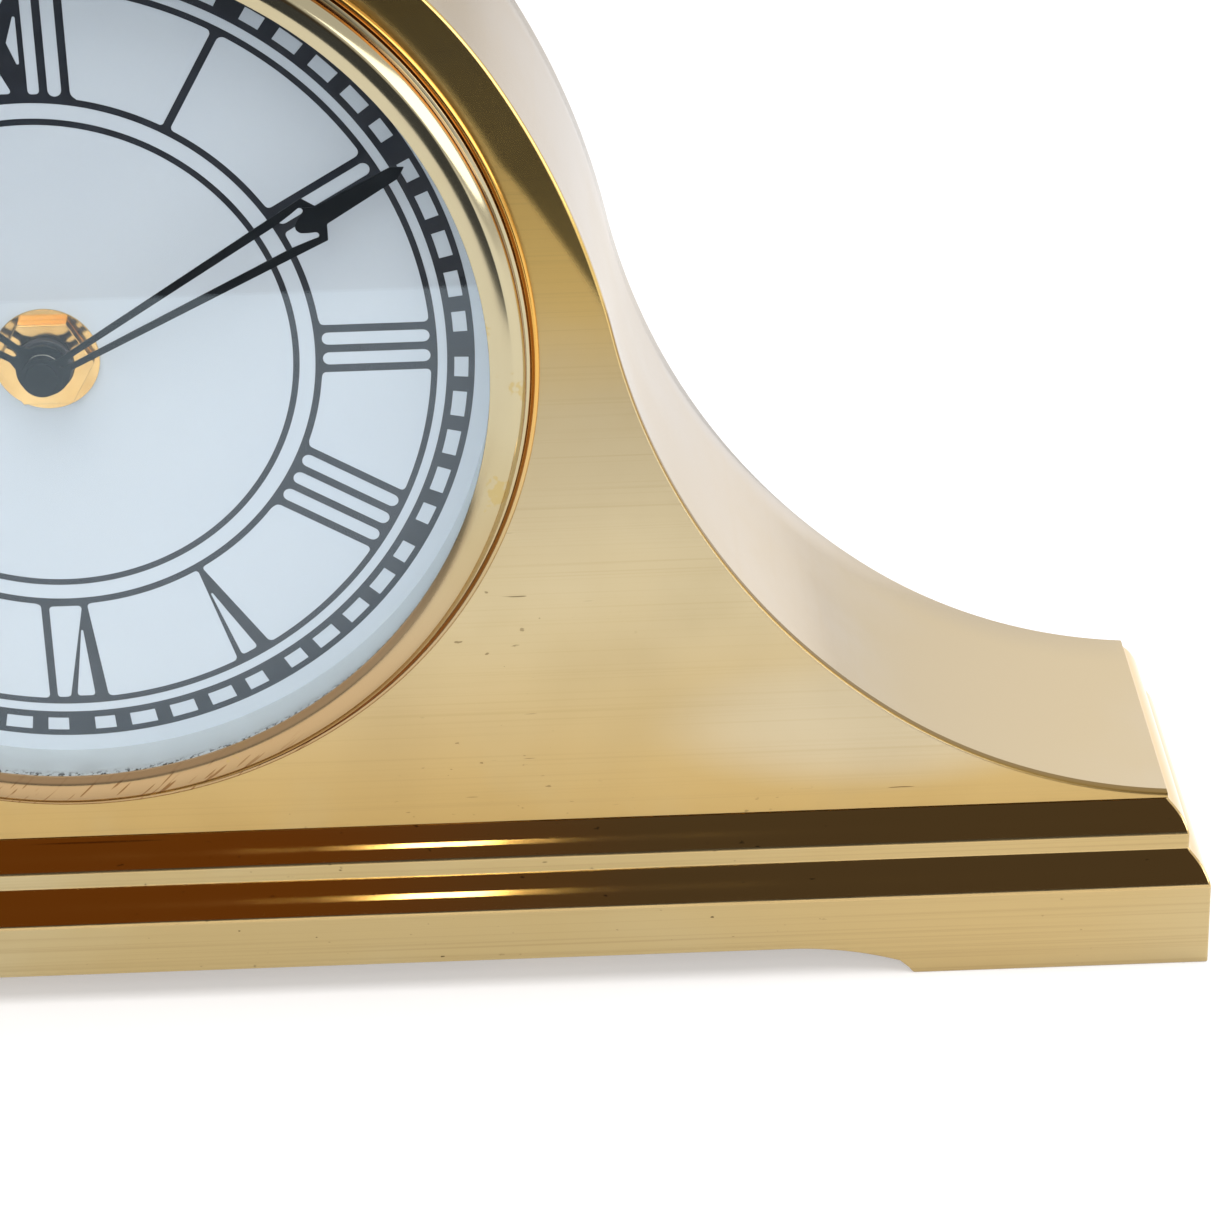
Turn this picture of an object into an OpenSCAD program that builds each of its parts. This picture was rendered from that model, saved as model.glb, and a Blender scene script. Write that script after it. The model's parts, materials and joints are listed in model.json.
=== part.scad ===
// Brass tambour desk clock with a quartz movement.
// Millimetres. +X is the clock's left to right seen from the front, the front faces -Y, +Z is up.
// The origin is on the resting surface, below the middle of the clock.

/* [Case] */
// Radius of the round arch over the dial
arch_r = 75.6; // [74:0.1:80]
// Radius of the shoulder below the arch
shoulder_r = 117.8; // [100:0.1:130]
// Radius of the hollow sweep down each side
sweep_r = 100.5; // [95:0.1:110]
// Radius of the tail where the sweep meets the plinth
tail_r = 80; // [76:0.1:84]
// Half the width of the case above the plinth
case_hw = 159.6; // [150:0.1:162]
// Depth of the case from front plate to back edge
case_d = 50; // [46:0.5:60]
// Thickness of the front plate and the plinth wall
wall = 1.5; // [1.2:0.1:2]
// Thickness of the wrapped top band
band_t = 1.2; // [1:0.1:1.5]

/* [Plinth] */
// Height of the plinth top above the resting surface
plinth_top = 25.2; // [24:0.1:27]
// How far each of the two moulded steps stands out
step_out = 3; // [2.5:0.1:3.5]
// Height of the flat strip between the two steps
strip_h = 2.4; // [1.5:0.1:3]
// Height of the upper moulded step
upper_step_h = 4.7; // [4:0.1:5.5]
// Height of the lower moulded step
lower_step_h = 5; // [4:0.1:6]
// Height of the arched gap under the front and back
apron_rise = 4.8; // [4:0.1:5.5]
// Distance from the middle to the inner edge of a foot
foot_x = 121.5; // [110:0.5:130]

/* [Dial] */
// Height of the hand axis above the resting surface
dial_z = 100.2; // [98:0.1:104]
// Outer radius of the dial's minute track
track_r = 60; // [60:0.5:60.5]
// Distance of the dial behind the front plate's face
dial_back = 4.2; // [4:0.1:4.5]
// Outer radius of the bezel
bezel_r = 69.06; // [68.5:0.01:70]
// Inner radius of the bezel's lip
lip_r = 62.1; // [61.8:0.1:62.3]
// Height of the bezel's lip in front of the dial
lip_h = 9.6; // [9.6:0.1:10]

/* [Hands] */
// Length of the minute hand
minute_len = 59.3; // [50:0.1:60]
// Length of the hour hand
hour_len = 39; // [34:0.5:42]
// Minutes past the hour that the hands show
minute_shown = 10.1; // [0:0.1:59.9]
// Hour that the hands show
hour_shown = 10; // [0:1:11]

/* [Back] */
// Radius of the round opening in the back panel
opening_r = 54; // [50:0.5:56]
// Radius of the door disc
door_r = 58; // [57:0.5:60]
// Thickness of the back panel and door
sheet = 1.2; // [1:0.1:1.5]

/* [Movement] */
// Width and height of the square movement
move_w = 56; // [56:0.5:57]
// Depth of the movement behind the dial washer
move_d = 16; // [16:0.5:17]
// Radius of an AA cell
cell_r = 7.25; // [7:0.05:7.25]
// Length of an AA cell
cell_len = 50.5; // [49.5:0.1:50.5]
// Radial gap of every running fit
fit = 0.05; // [0.02:0.01:0.08]

/* [Hidden] */
$fn = 96;
over = 1;

// Depth: the plinth front and the back edge are the same distance from the origin.
plinth_out = 2 * step_out;
back_y = (case_d + plinth_out) / 2;
front_y = back_y - case_d;
dial_y = front_y + dial_back;

// Plinth levels, from the top down
strip_top = plinth_top - upper_step_h;
strip_low = strip_top - strip_h;
face_top = strip_low - lower_step_h;
plinth_hw = case_hw + plinth_out;

// Case outline: centres of the arcs, measured from the hand axis
shoulder_start = 32;
shoulder_end = 11.7;
sweep_end = 233.7;
function polar(r, a) = [r * cos(a), r * sin(a)];
shoulder_c = -polar(shoulder_r - arch_r, shoulder_start);
sweep_c = shoulder_c + polar(shoulder_r + sweep_r, shoulder_end);
tail_c = sweep_c + polar(sweep_r - tail_r, sweep_end);

// Depths of the movement's levels, measured forward from the dial's face
dial_t = 0.8;
washer_t = 1;
move_front = -dial_t - washer_t;
move_rear = move_front - move_d;
room_front = move_front - 2;
room_rear = move_rear + sheet;
bay_y = -19.4;
bay_half = cell_r + 0.3;
cell_z = room_front - 1.1 - cell_r;

// Gear train
arbor_r = 1.6;
pipe_r = 2.5;
bush_r = 4;
post_r = 0.5;
motion_gap = 12;
minute_wheel_at = 150;
minute_wheel_c = polar(motion_gap, minute_wheel_at);
setting_at = 200;
setting_c = minute_wheel_c + polar(motion_gap, setting_at);
third_at = 60;
third_gap = 10.8;
third_c = polar(third_gap, third_at);
inter_at = 180;
inter_gap = 7.2;
inter_c = polar(inter_gap, inter_at);
rotor_at = 100;
rotor_gap = 7;
rotor_c = inter_c + polar(rotor_gap, rotor_at);
magnet_r = 3;
core_y = 22;
core_z = -12.9;
coil_x = [-18, -4];

// Tooth counts
cannon_z = 12;
minute_wheel_z = 36;
minute_pinion_z = 10;
hour_wheel_z = 40;
leaf_z = 8;
centre_z = 64;
third_z = 60;
seconds_z = 40;
inter_z = 48;

// Module of a meshing pair from its centre distance
function pair_module(gap, za, zb) = 2 * gap / (za + zb);
// Angle of the driven gear's first tooth, for a mesh in direction dir from the driver
function mesh_phase(phase, za, zb, dir) = dir + 180 + 180 / zb - (phase - dir) * za / zb;
minute_angle = 90 - minute_shown * 6;
hour_angle = 90 - (hour_shown + minute_shown / 60) * 30;
minute_wheel_phase = mesh_phase(0, cannon_z, minute_wheel_z, minute_wheel_at);
setting_phase = mesh_phase(minute_wheel_phase, minute_wheel_z, cannon_z, setting_at);
hour_phase = mesh_phase(0, minute_pinion_z, hour_wheel_z, minute_wheel_at + 180);
third_phase = mesh_phase(0, leaf_z, third_z, third_at);
centre_phase = mesh_phase(0, leaf_z, centre_z, third_at + 180);
inter_phase = mesh_phase(0, seconds_z, leaf_z, inter_at);
rotor_phase = mesh_phase(0, inter_z, leaf_z, rotor_at);

// Back door
panel_y = back_y - 4 - sheet;
door_y = back_y - 4 + 0.3;
knuckle_r = 1.6;
knuckle_x = -63.5;
knuckle_y = door_y + knuckle_r;
knuckle_half = 4;
knuckle_end = 10.3;
hinge_pin_r = 0.75;
latch_x = 46;
latch_r = 1.5;

// Places of the back panel screws: three along the rail and three on the arch
rail_x = [-90, 0, 90];
rail_screw_z = plinth_top + 3.2;
lug_at = [30, 90, 150];
lug_r = 3.6;
lug_ring = arch_r - band_t - lug_r;
screw_r = 1.2;
clamp_at = [45, 135, 225, 315];
clamp_ring = 69.6;

// Brings a shape drawn round the dial's centre, facing +Z, to its place in the case
module at_dial() {
    translate([0, dial_y, dial_z]) rotate([90, 0, 0]) children();
}

// Extrudes a front view from y to y + t
module upright(y, t) {
    translate([0, y + t, 0]) rotate([90, 0, 0]) linear_extrude(t) children();
}

// A cylinder between two depths, drawn round the dial's centre
module disc(r, low, high, at = [0, 0]) {
    translate([at.x, at.y, low]) cylinder(r = r, h = high - low);
}

module ring(outer, inner, low, high, at = [0, 0]) {
    difference() {
        disc(outer, low, high, at);
        disc(inner, low - over, high + over, at);
    }
}

// Points along an arc, without its first point
function arc(c, r, from, to, steps) = [for (i = [1 : steps]) c + polar(r, from + (to - from) * i / steps)];

// Angle at which the tail arc, inset by t, meets the plinth's top or the case's end
function tail_end(t) = let (rise = (plinth_top - dial_z - tail_c.y) / (tail_r + t))
    rise > -1 ? 180 - asin(rise) : 360 - acos((case_hw - tail_c.x) / (tail_r + t));

// Right half of the case outline, inset by t, from the top of the arch down, measured from the hand axis
function half_outline(t) = concat(
    arc([0, 0], arch_r - t, 90, shoulder_start, 22),
    arc(shoulder_c, shoulder_r - t, shoulder_start, shoulder_end, 12),
    arc(sweep_c, sweep_r + t, shoulder_end + 180, sweep_end, 24),
    arc(tail_c, tail_r + t, sweep_end, tail_end(t), 16));

// Case outline, inset by t, that ends the distance drop below the plinth's top
module case_outline(t, drop = 0) {
    half = half_outline(t);
    last = len(half) - 1;
    low = plinth_top - dial_z - drop;
    translate([0, dial_z]) polygon(concat([[0, arch_r - t]], half, [[half[last].x, low]],
        [[-half[last].x, low]], [for (i = [0 : last]) [-half[last - i].x, half[last - i].y]]));
}

// Angle that an ogee's two equal arcs turn to, from a crisp corner at their far ends, and their radius
ogee_corner = 17;
function ogee_turn(h) = 2 * atan(step_out / h) - ogee_corner;
function ogee_r(h) = h / 2 / (sin(ogee_turn(h)) - sin(ogee_corner));
// Ogee points from its lower outer end up to its inner upper end
function ogee(x, y, h) = let (r = ogee_r(h), turn = ogee_turn(h)) concat(
    arc([x, y] - polar(r, ogee_corner), r, ogee_corner, turn, 6),
    arc([x - step_out, y + h] + polar(r, ogee_corner), r, 180 + turn, 180 + ogee_corner, 6));

// Plinth outline from its foot to its top: x is outward from the case wall, y is height
function plinth_edge() = concat([[plinth_out, 0], [plinth_out, face_top]],
    ogee(plinth_out, face_top, lower_step_h), [[step_out, strip_top]],
    ogee(step_out, strip_top, upper_step_h));

// Mitred solid: the section seen from the end meets the section seen from the front
module plinth_solid() {
    edge = plinth_edge();
    last = len(edge) - 1;
    intersection() {
        translate([-plinth_hw - over, 0, 0]) rotate([90, 0, 90]) linear_extrude(2 * (plinth_hw + over))
            polygon(concat([for (p = edge) [front_y - p.x, p.y]], [[back_y, plinth_top], [back_y, 0]]));
        translate([0, back_y + over, 0]) rotate([90, 0, 0]) linear_extrude(2 * (back_y + over))
            polygon(concat([for (p = edge) [case_hw + p.x, p.y]],
                [for (i = [0 : last]) [-case_hw - edge[last - i].x, edge[last - i].y]]));
    }
}

// Gap under the front and back, with a curved lead-in and a short step at each foot
module apron_gap() {
    run = 16.5;
    drop = 2.7;
    curve_r = (run * run + drop * drop) / 2 / drop;
    flat_x = foot_x - 2 - run;
    side = concat([[flat_x, apron_rise]],
        arc([flat_x, apron_rise - curve_r], curve_r, 90, 90 - asin(run / curve_r), 8),
        [[foot_x - 0.6, 0.8], [foot_x, 0], [foot_x, -over]]);
    last = len(side) - 1;
    polygon(concat(side, [for (i = [0 : last]) [-side[last - i].x, side[last - i].y]]));
}

module plinth() {
    skin = 1.8;
    color([0.82, 0.66, 0.36]) difference() {
        plinth_solid();
        translate([-plinth_hw + skin, -back_y + skin, -over])
            cube([2 * (plinth_hw - skin), 2 * back_y - skin - wall, face_top - 1.6 + over]);
        translate([-case_hw + wall, front_y + wall, 0])
            cube([2 * (case_hw - wall), case_d - 2 * wall, plinth_top + over]);
        upright(-back_y - over, 2 * (back_y + over)) apron_gap();
    }
}

module front_plate() {
    color([0.84, 0.69, 0.40]) {
        difference() {
            upright(front_y, wall) case_outline(0);
            at_dial() disc(bezel_r - 3.06, -over, dial_back + over);
        }
        at_dial() for (a = clamp_at) difference() {
            disc(2.6, -2, dial_back - wall, polar(clamp_ring, a));
            disc(screw_r + fit, -2 - over, 1.5, polar(clamp_ring, a));
        }
    }
}

module top_band() {
    color([0.86, 0.72, 0.45]) upright(front_y + wall, case_d - wall) difference() {
        case_outline(0);
        case_outline(band_t, over);
    }
}

module bottom_panel() {
    gap = 1.9;
    color([0.62, 0.50, 0.30]) translate([-plinth_hw + gap, -back_y + gap, 6.2])
        cube([2 * (plinth_hw - gap), 2 * back_y - gap - wall - 0.1, sheet]);
}

module back_rail() {
    half = 120;
    hole_y = panel_y - wall - over;
    color([0.62, 0.50, 0.30]) difference() {
        union() {
            translate([-half, panel_y - wall, plinth_top - 1.3])
                cube([2 * half, back_y - panel_y, 1.2]);
            translate([-half, panel_y - wall, plinth_top - 1.3]) cube([2 * half, wall, 7.8]);
        }
        for (x = rail_x) translate([x, hole_y, rail_screw_z]) rotate([-90, 0, 0])
            cylinder(r = screw_r + fit, h = wall + 2 * over);
    }
}

module back_lugs() {
    length = 8;
    color([0.62, 0.50, 0.30]) at_dial() for (a = lug_at) difference() {
        disc(lug_r, dial_y - panel_y, dial_y - panel_y + length, polar(lug_ring, a));
        disc(screw_r + fit, dial_y - panel_y - over, dial_y - panel_y + 5.5, polar(lug_ring, a));
    }
}

module panel_holes(r, low, high) {
    at_dial() for (a = lug_at) disc(r, low, high, polar(lug_ring, a));
    at_dial() for (x = rail_x) disc(r, low, high, [x, rail_screw_z - dial_z]);
}

module back_panel() {
    gap = 0.3;
    leaf_hole = dial_y - panel_y - sheet;
    color([0.80, 0.64, 0.36]) difference() {
        upright(panel_y, sheet) case_outline(band_t + gap, 0.05);
        at_dial() disc(opening_r, leaf_hole - over, dial_y - panel_y + over);
        panel_holes(1.4, leaf_hole - over, dial_y - panel_y + over);
        at_dial() for (s = [-1, 1]) disc(0.85, leaf_hole - over, dial_y - panel_y + over, [-70, 6 * s]);
    }
}

module slotted_screw(head_r, head_h, r, length) {
    difference() {
        cylinder(r = head_r, h = head_h);
        translate([-head_r - over, -0.3, head_h - 0.5]) cube([2 * (head_r + over), 0.6, over]);
    }
    translate([0, 0, -length]) cylinder(r = r, h = length);
}

module back_screws() {
    head = dial_y - panel_y - sheet;
    at = concat([for (a = lug_at) polar(lug_ring, a)], [for (x = rail_x) [x, rail_screw_z - dial_z]]);
    color([0.75, 0.62, 0.38]) at_dial() for (p = at) translate([p.x, p.y, head])
        rotate([180, 0, p.x]) slotted_screw(2.6, 1.3, screw_r, 6);
}

module hinge_leaf() {
    color([0.78, 0.62, 0.34]) difference() {
        union() {
            translate([-74, panel_y + sheet, dial_z - knuckle_end]) cube([8.4, 1.2, 2 * knuckle_end]);
            for (s = [0, 1]) translate([0, 0, dial_z]) mirror([0, 0, s]) {
                translate([-66, panel_y + sheet, knuckle_half + 0.3])
                    cube([-knuckle_r + 3.1, 1.2, knuckle_end - knuckle_half - 0.3]);
                translate([knuckle_x, knuckle_y, knuckle_half + 0.3])
                    cylinder(r = knuckle_r, h = knuckle_end - knuckle_half - 0.3);
            }
        }
        translate([knuckle_x, knuckle_y, dial_z - 12]) cylinder(r = hinge_pin_r + fit, h = 24);
        for (s = [-1, 1]) translate([-70, panel_y, dial_z + 6 * s]) rotate([-90, 0, 0])
            cylinder(r = 0.85, h = 4);
    }
}

module hinge_screws() {
    color([0.75, 0.62, 0.38]) for (s = [-1, 1])
        translate([-70, panel_y + sheet + 1.2, dial_z + 6 * s]) rotate([-90, 0, 0])
            slotted_screw(1.5, 0.8, 0.8, 3.4);
}

module hinge_pin() {
    color([0.72, 0.72, 0.70]) translate([knuckle_x, knuckle_y, dial_z - 10.9]) {
        cylinder(r = hinge_pin_r, h = 21.8);
        translate([0, 0, 21.3]) cylinder(r = 1.2, h = 0.8);
    }
}

module door_disc() {
    tab = [knuckle_x, door_y, dial_z - knuckle_half];
    color([0.82, 0.66, 0.38]) difference() {
        union() {
            upright(door_y, sheet) translate([0, dial_z]) circle(r = door_r);
            translate(tab) cube([12, sheet, 2 * knuckle_half]);
            translate([knuckle_x, knuckle_y, dial_z - knuckle_half])
                cylinder(r = knuckle_r, h = 2 * knuckle_half);
        }
        translate([knuckle_x, knuckle_y, dial_z - 12]) cylinder(r = hinge_pin_r + fit, h = 24);
        translate([latch_x, door_y - over, dial_z]) rotate([-90, 0, 0])
            cylinder(r = latch_r + fit, h = sheet + 2 * over);
    }
}

// Turned grip outside the door, shaft through it and locking finger inside
module latch_knob() {
    finger_y = panel_y - 0.4 - sheet;
    knob_y = door_y + sheet + 0.3;
    color([0.84, 0.68, 0.38]) translate([latch_x, 0, dial_z]) {
        translate([0, finger_y, 0]) rotate([-90, 0, 0]) cylinder(r = latch_r, h = knob_y - finger_y);
        translate([0, knob_y, 0]) rotate([-90, 0, 0]) cylinder(r = 4.2, h = 0.8);
        translate([-0.8, knob_y + 0.8, -3.6]) cube([1.6, 1.2, 7.2]);
        translate([0, finger_y, 0]) rotate([-90, 0, 0]) cylinder(r = 2.6, h = sheet);
        translate([-2.5, finger_y, 0]) cube([5, sheet, 13]);
    }
}

// Lip over the glass, broad crest, rounding and outer slope in three tangent arcs, then a step and a bead
module bezel() {
    skirt_r = bezel_r - 3.66;
    seat_r = skirt_r - 1.2;
    bead_r = 0.5;
    crest_r = 5.87;
    round_r = 2.04;
    slope_r = 3.2;
    crest_c = [lip_r, lip_h - 0.25] - polar(crest_r, 114);
    round_c = crest_c + polar(crest_r - round_r, 84);
    slope_c = round_c - polar(slope_r - round_r, 50);
    color([0.88, 0.70, 0.42]) at_dial() rotate_extrude() polygon(concat(
        [[seat_r, lip_h - 0.5], [lip_r, lip_h - 0.5], [lip_r, lip_h - 0.25]],
        arc(crest_c, crest_r, 114, 84, 4), arc(round_c, round_r, 84, 50, 4), arc(slope_c, slope_r, 50, 25, 3),
        [[bezel_r - 1.86, 6], [bezel_r - 1.3, 5.8], [bezel_r - 1.1, 5.2]],
        arc([bezel_r - bead_r, dial_back + 0.9], bead_r, 150, 0, 6),
        [[bezel_r, dial_back], [skirt_r, dial_back], [skirt_r, -dial_t], [seat_r, -dial_t]]));
}

module glass() {
    color([0.80, 0.90, 0.95, 0.35]) at_dial() disc(bezel_r - 5.06, lip_h - 1.7, lip_h - 0.6);
}

module wall_ring() {
    color([0.86, 0.87, 0.86]) at_dial() ring(bezel_r - 5.16, lip_r + 0.4, 0, lip_h - 1.8);
}

module dial() {
    color([0.93, 0.95, 0.97]) at_dial() ring(track_r + 3.9, bush_r + 0.1, -dial_t, 0);
}

module retainer_ring() {
    color([0.70, 0.70, 0.68]) at_dial() ring(bezel_r - 3.66, track_r - 2, -2, -dial_t);
}

module clamps() {
    width = 9;
    color([0.72, 0.58, 0.34]) at_dial() for (a = clamp_at) rotate([0, 0, a]) difference() {
        translate([track_r, -width / 2, -3.2]) cube([13.2, width, 1.2]);
        disc(1.4, -3.2 - over, -2 + over, [clamp_ring, 0]);
    }
}

module clamp_screws() {
    color([0.76, 0.76, 0.74]) at_dial() for (a = clamp_at) rotate([0, 0, a])
        translate([clamp_ring, 0, -3.2]) rotate([180, 0, 0]) slotted_screw(2.4, 1.5, screw_r, 4.2);
}

module dial_washer() {
    color([0.85, 0.70, 0.40]) at_dial() ring(7.5, bush_r + 0.1, 0, 0.4);
}

module dial_nut() {
    color([0.86, 0.70, 0.38]) at_dial() difference() {
        translate([0, 0, 0.4]) cylinder(r = 6.9, h = 2, $fn = 6);
        disc(bush_r + fit, 0, 3);
    }
}

module rubber_washer() {
    color([0.10, 0.10, 0.10]) at_dial() ring(9, bush_r + 0.1, move_front, -dial_t);
}

// Pierced hand along +X: two legs that open to a shoulder, then a bar that tapers to a point
module hand_outline(length, spread, leg, bar, boss) {
    shoulder = 0.752 * length;
    circle(r = boss);
    for (s = [0, 1]) mirror([0, s]) polygon([[0, 0.02 * spread], [0, 0.02 * spread + leg],
        [shoulder, spread], [0.98 * shoulder, spread - 1.3 * leg]]);
    polygon([[shoulder, spread], [0.775 * length, bar], [0.97 * length, 0.64 * bar], [length, 0],
        [0.97 * length, -0.64 * bar], [0.775 * length, -bar], [shoulder, -spread],
        [0.98 * shoulder, 1.3 * leg - spread], [0.985 * shoulder, -bar], [0.97 * shoulder, -0.75 * bar],
        [0.945 * shoulder, 0], [0.97 * shoulder, 0.75 * bar], [0.985 * shoulder, bar],
        [0.98 * shoulder, spread - 1.3 * leg]]);
}

module minute_hand() {
    color([0.08, 0.08, 0.09]) at_dial() difference() {
        union() {
            translate([0, 0, 6.7]) rotate([0, 0, minute_angle]) linear_extrude(0.4)
                hand_outline(minute_len, 3.53, 0.95, 1.5, 2.9);
            disc(2.6, 4.95, 6.8);
        }
        disc(arbor_r, 4, 8);
    }
}

module hour_hand() {
    color([0.08, 0.08, 0.09]) at_dial() difference() {
        union() {
            translate([0, 0, 4.2]) rotate([0, 0, hour_angle]) linear_extrude(0.4)
                hand_outline(hour_len, 3.6, 1.15, 1.8, 3.8);
            disc(3.5, 3.3, 4.3);
        }
        disc(pipe_r, 3, 5);
    }
}

module hand_nut() {
    color([0.10, 0.10, 0.11]) at_dial() difference() {
        disc(2.3, 7.1, 7.6);
        disc(arbor_r, 7, 7.4);
    }
}

// Involute gear outline with narrow teeth, tooth i = 0 centred on the angle phase
function inv(a) = tan(a) - a * PI / 180;
function flank(m, z, r) = 90 * 0.82 / z
    + (inv(20) - inv(acos(min(1, m * z * cos(20) / 2 / r)))) * 180 / PI;
function tooth_radii(m, z) = [m * (z / 2 - 1.15), m * (z / 2 - 0.5), m * z / 2, m * (z / 2 + 0.4),
    m * (z / 2 + 0.8)];
module gear(m, z, phase) {
    radii = tooth_radii(m, z);
    count = len(radii);
    polygon([for (i = [0 : z - 1]) for (j = [0 : 2 * count - 1])
        let (k = j < count ? j : 2 * count - 1 - j, side = j < count ? -1 : 1)
        polar(radii[k], phase + i * 360 / z + side * max(0.2, flank(m, z, radii[k])))]);
}

// A toothed wheel with round lightening holes between two depths
module wheel(m, z, phase, low, high, bore, at, holes) {
    mid = (m * (z / 2 - 1.15) + bore + 1) / 2;
    hole_r = (m * (z / 2 - 1.15) - bore - 1) / 2 - 0.7;
    difference() {
        translate([at.x, at.y, low]) linear_extrude(high - low) gear(m, z, phase);
        disc(bore, low - over, high + over, at);
        if (holes > 0) for (i = [0 : holes - 1])
            disc(hole_r, low - over, high + over, at + polar(mid, (i + 0.5) * 360 / holes));
    }
}

motion_m = pair_module(motion_gap, cannon_z, minute_wheel_z);
hour_m = pair_module(motion_gap, minute_pinion_z, hour_wheel_z);
centre_m = pair_module(third_gap, leaf_z, centre_z);
third_m = pair_module(third_gap, leaf_z, third_z);
seconds_m = pair_module(inter_gap, leaf_z, seconds_z);
inter_m = pair_module(rotor_gap, leaf_z, inter_z);

module minute_arbor() {
    color([0.80, 0.66, 0.36]) at_dial() {
        disc(arbor_r, -10.9, 7.4);
        wheel(motion_m, cannon_z, 0, -9.2, -7.3, arbor_r, [0, 0], 0);
    }
}

module minute_wheel() {
    bore = 0.8 + fit;
    color([0.92, 0.90, 0.84]) at_dial() {
        wheel(motion_m, minute_wheel_z, minute_wheel_phase, -8.7, -7.7, bore, minute_wheel_c, 5);
        wheel(hour_m, minute_pinion_z, 0, -7.7, -4.6, bore, minute_wheel_c, 0);
    }
}

module hour_wheel() {
    color([0.92, 0.90, 0.84]) at_dial() {
        wheel(hour_m, hour_wheel_z, hour_phase, -6, -5, pipe_r, [0, 0], 6);
        ring(pipe_r, arbor_r + fit, -6, 4.6);
    }
}

module setting_knob() {
    grooves = 18;
    color([0.90, 0.88, 0.82]) at_dial() {
        wheel(motion_m, cannon_z, setting_phase, -9.2, -7.2, latch_r, setting_c, 0);
        disc(latch_r, -18.3, -6.8, setting_c);
        difference() {
            disc(6, -22.3, -18.3, setting_c);
            for (i = [0 : grooves - 1])
                disc(0.45, -22.3 - over, -18.9, setting_c + polar(6.1, i * 360 / grooves));
        }
    }
}

module centre_wheel() {
    color([0.84, 0.70, 0.40]) at_dial()
        wheel(centre_m, centre_z, centre_phase, -10.6, -9.9, arbor_r + fit, [0, 0], 6);
}

module third_wheel() {
    color([0.94, 0.92, 0.86]) at_dial() {
        wheel(third_m, third_z, third_phase, -12.2, -11.6, post_r + fit, third_c, 5);
        wheel(centre_m, leaf_z, 0, -11.6, -9.6, post_r + fit, third_c, 0);
    }
}

module seconds_wheel() {
    color([0.94, 0.92, 0.86]) at_dial() {
        wheel(seconds_m, seconds_z, 0, -13.6, -13, post_r + fit, [0, 0], 5);
        wheel(third_m, leaf_z, 0, -13, -11.3, post_r + fit, [0, 0], 0);
    }
}

module intermediate_wheel() {
    color([0.94, 0.92, 0.86]) at_dial() {
        wheel(inter_m, inter_z, 0, -14.8, -14.2, post_r + fit, inter_c, 5);
        wheel(seconds_m, leaf_z, inter_phase, -14.2, -12.8, post_r + fit, inter_c, 0);
    }
}

module rotor() {
    bore = 0.35 + fit;
    color([0.35, 0.36, 0.38]) at_dial() {
        wheel(inter_m, leaf_z, rotor_phase, -15, -13.9, bore, rotor_c, 0);
        ring(magnet_r, bore, -13.9, -11.3, rotor_c);
    }
}

module movement_front() {
    half = move_w / 2;
    color([0.13, 0.13, 0.14]) at_dial() {
        difference() {
            union() {
                translate([-half, -half, room_front]) cube([move_w, move_w, 2]);
                disc(bush_r, room_front, 3);
            }
            disc(pipe_r + fit, room_front - over, 4);
        }
        disc(0.8, -9, room_front, minute_wheel_c);
    }
}

module movement_back() {
    half = move_w / 2;
    side = half - sheet;
    bay_side = half - 0.8;
    floor_z = bay_y + bay_half + 1.05;
    color([0.13, 0.13, 0.14]) at_dial() {
        difference() {
            translate([-half, -half, move_rear]) cube([move_w, move_w, room_front - move_rear]);
            translate([-side, floor_z, room_rear])
                cube([2 * side, side - floor_z, room_front - room_rear + over]);
            translate([-bay_side, bay_y - bay_half, move_rear - over])
                cube([2 * bay_side, 2 * bay_half, room_front - 0.8 - move_rear + over]);
            disc(latch_r + fit, move_rear - over, room_rear + over, setting_c);
        }
        disc(post_r, room_rear, -11.5);
        disc(post_r, room_rear, -9.7, third_c);
        disc(post_r, room_rear, -12.9, inter_c);
        disc(0.35, room_rear, -11.4, rotor_c);
        for (x = [coil_x[0] - 2, coil_x[1] + 2]) disc(1.2, room_rear, core_z - 0.4, [x, core_y]);
        for (p = [[14, -7], [24, -7], [24, 18]]) disc(1.2, room_rear, -15.6, p);
    }
}

module stator() {
    ring_r = magnet_r + 1.4;
    low = core_z - 0.4;
    high = core_z + 0.4;
    left = coil_x[0] - 3.2;
    right = coil_x[1] + 3.2;
    leg = 2.6;
    knee_y = core_y - 4.2;
    color([0.66, 0.67, 0.68]) at_dial() difference() {
        union() {
            disc(ring_r, low, high, rotor_c);
            translate([left, core_y - 1.2, low]) cube([right - left, 2.4, high - low]);
            translate([0, 0, low]) linear_extrude(high - low) {
                polygon([[left, core_y], [left + leg, core_y], [left + leg, knee_y],
                    rotor_c + [-1.8, 3], rotor_c + [-4.3, 0.8], [left, knee_y]]);
                polygon([[right - leg, core_y], [right, core_y], [right, knee_y],
                    rotor_c + [4.2, 1], rotor_c + [1.8, 3.2], [right - leg, knee_y]]);
            }
        }
        disc(magnet_r + 0.4, low - over, high + over, rotor_c);
    }
}

module along_x(r, low, high) {
    translate([low, core_y, core_z]) rotate([0, 90, 0]) cylinder(r = r, h = high - low);
}

module coil_bobbin() {
    cheek = 0.8;
    color([0.90, 0.90, 0.88]) at_dial() difference() {
        union() {
            along_x(1.6, coil_x[0], coil_x[1]);
            along_x(3.5, coil_x[0], coil_x[0] + cheek);
            along_x(3.5, coil_x[1] - cheek, coil_x[1]);
        }
        translate([coil_x[0] - over, core_y - 1.3, core_z - 0.5]) cube([16, 2.6, 1]);
    }
}

module coil_winding() {
    color([0.72, 0.40, 0.20]) at_dial() difference() {
        along_x(3.2, coil_x[0] + 0.8, coil_x[1] - 0.8);
        along_x(1.6, coil_x[0], coil_x[1]);
    }
}

module circuit_board() {
    color([0.10, 0.36, 0.20]) at_dial() translate([12, -9.5, -15.6]) cube([14, 30, 0.8]);
}

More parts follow.
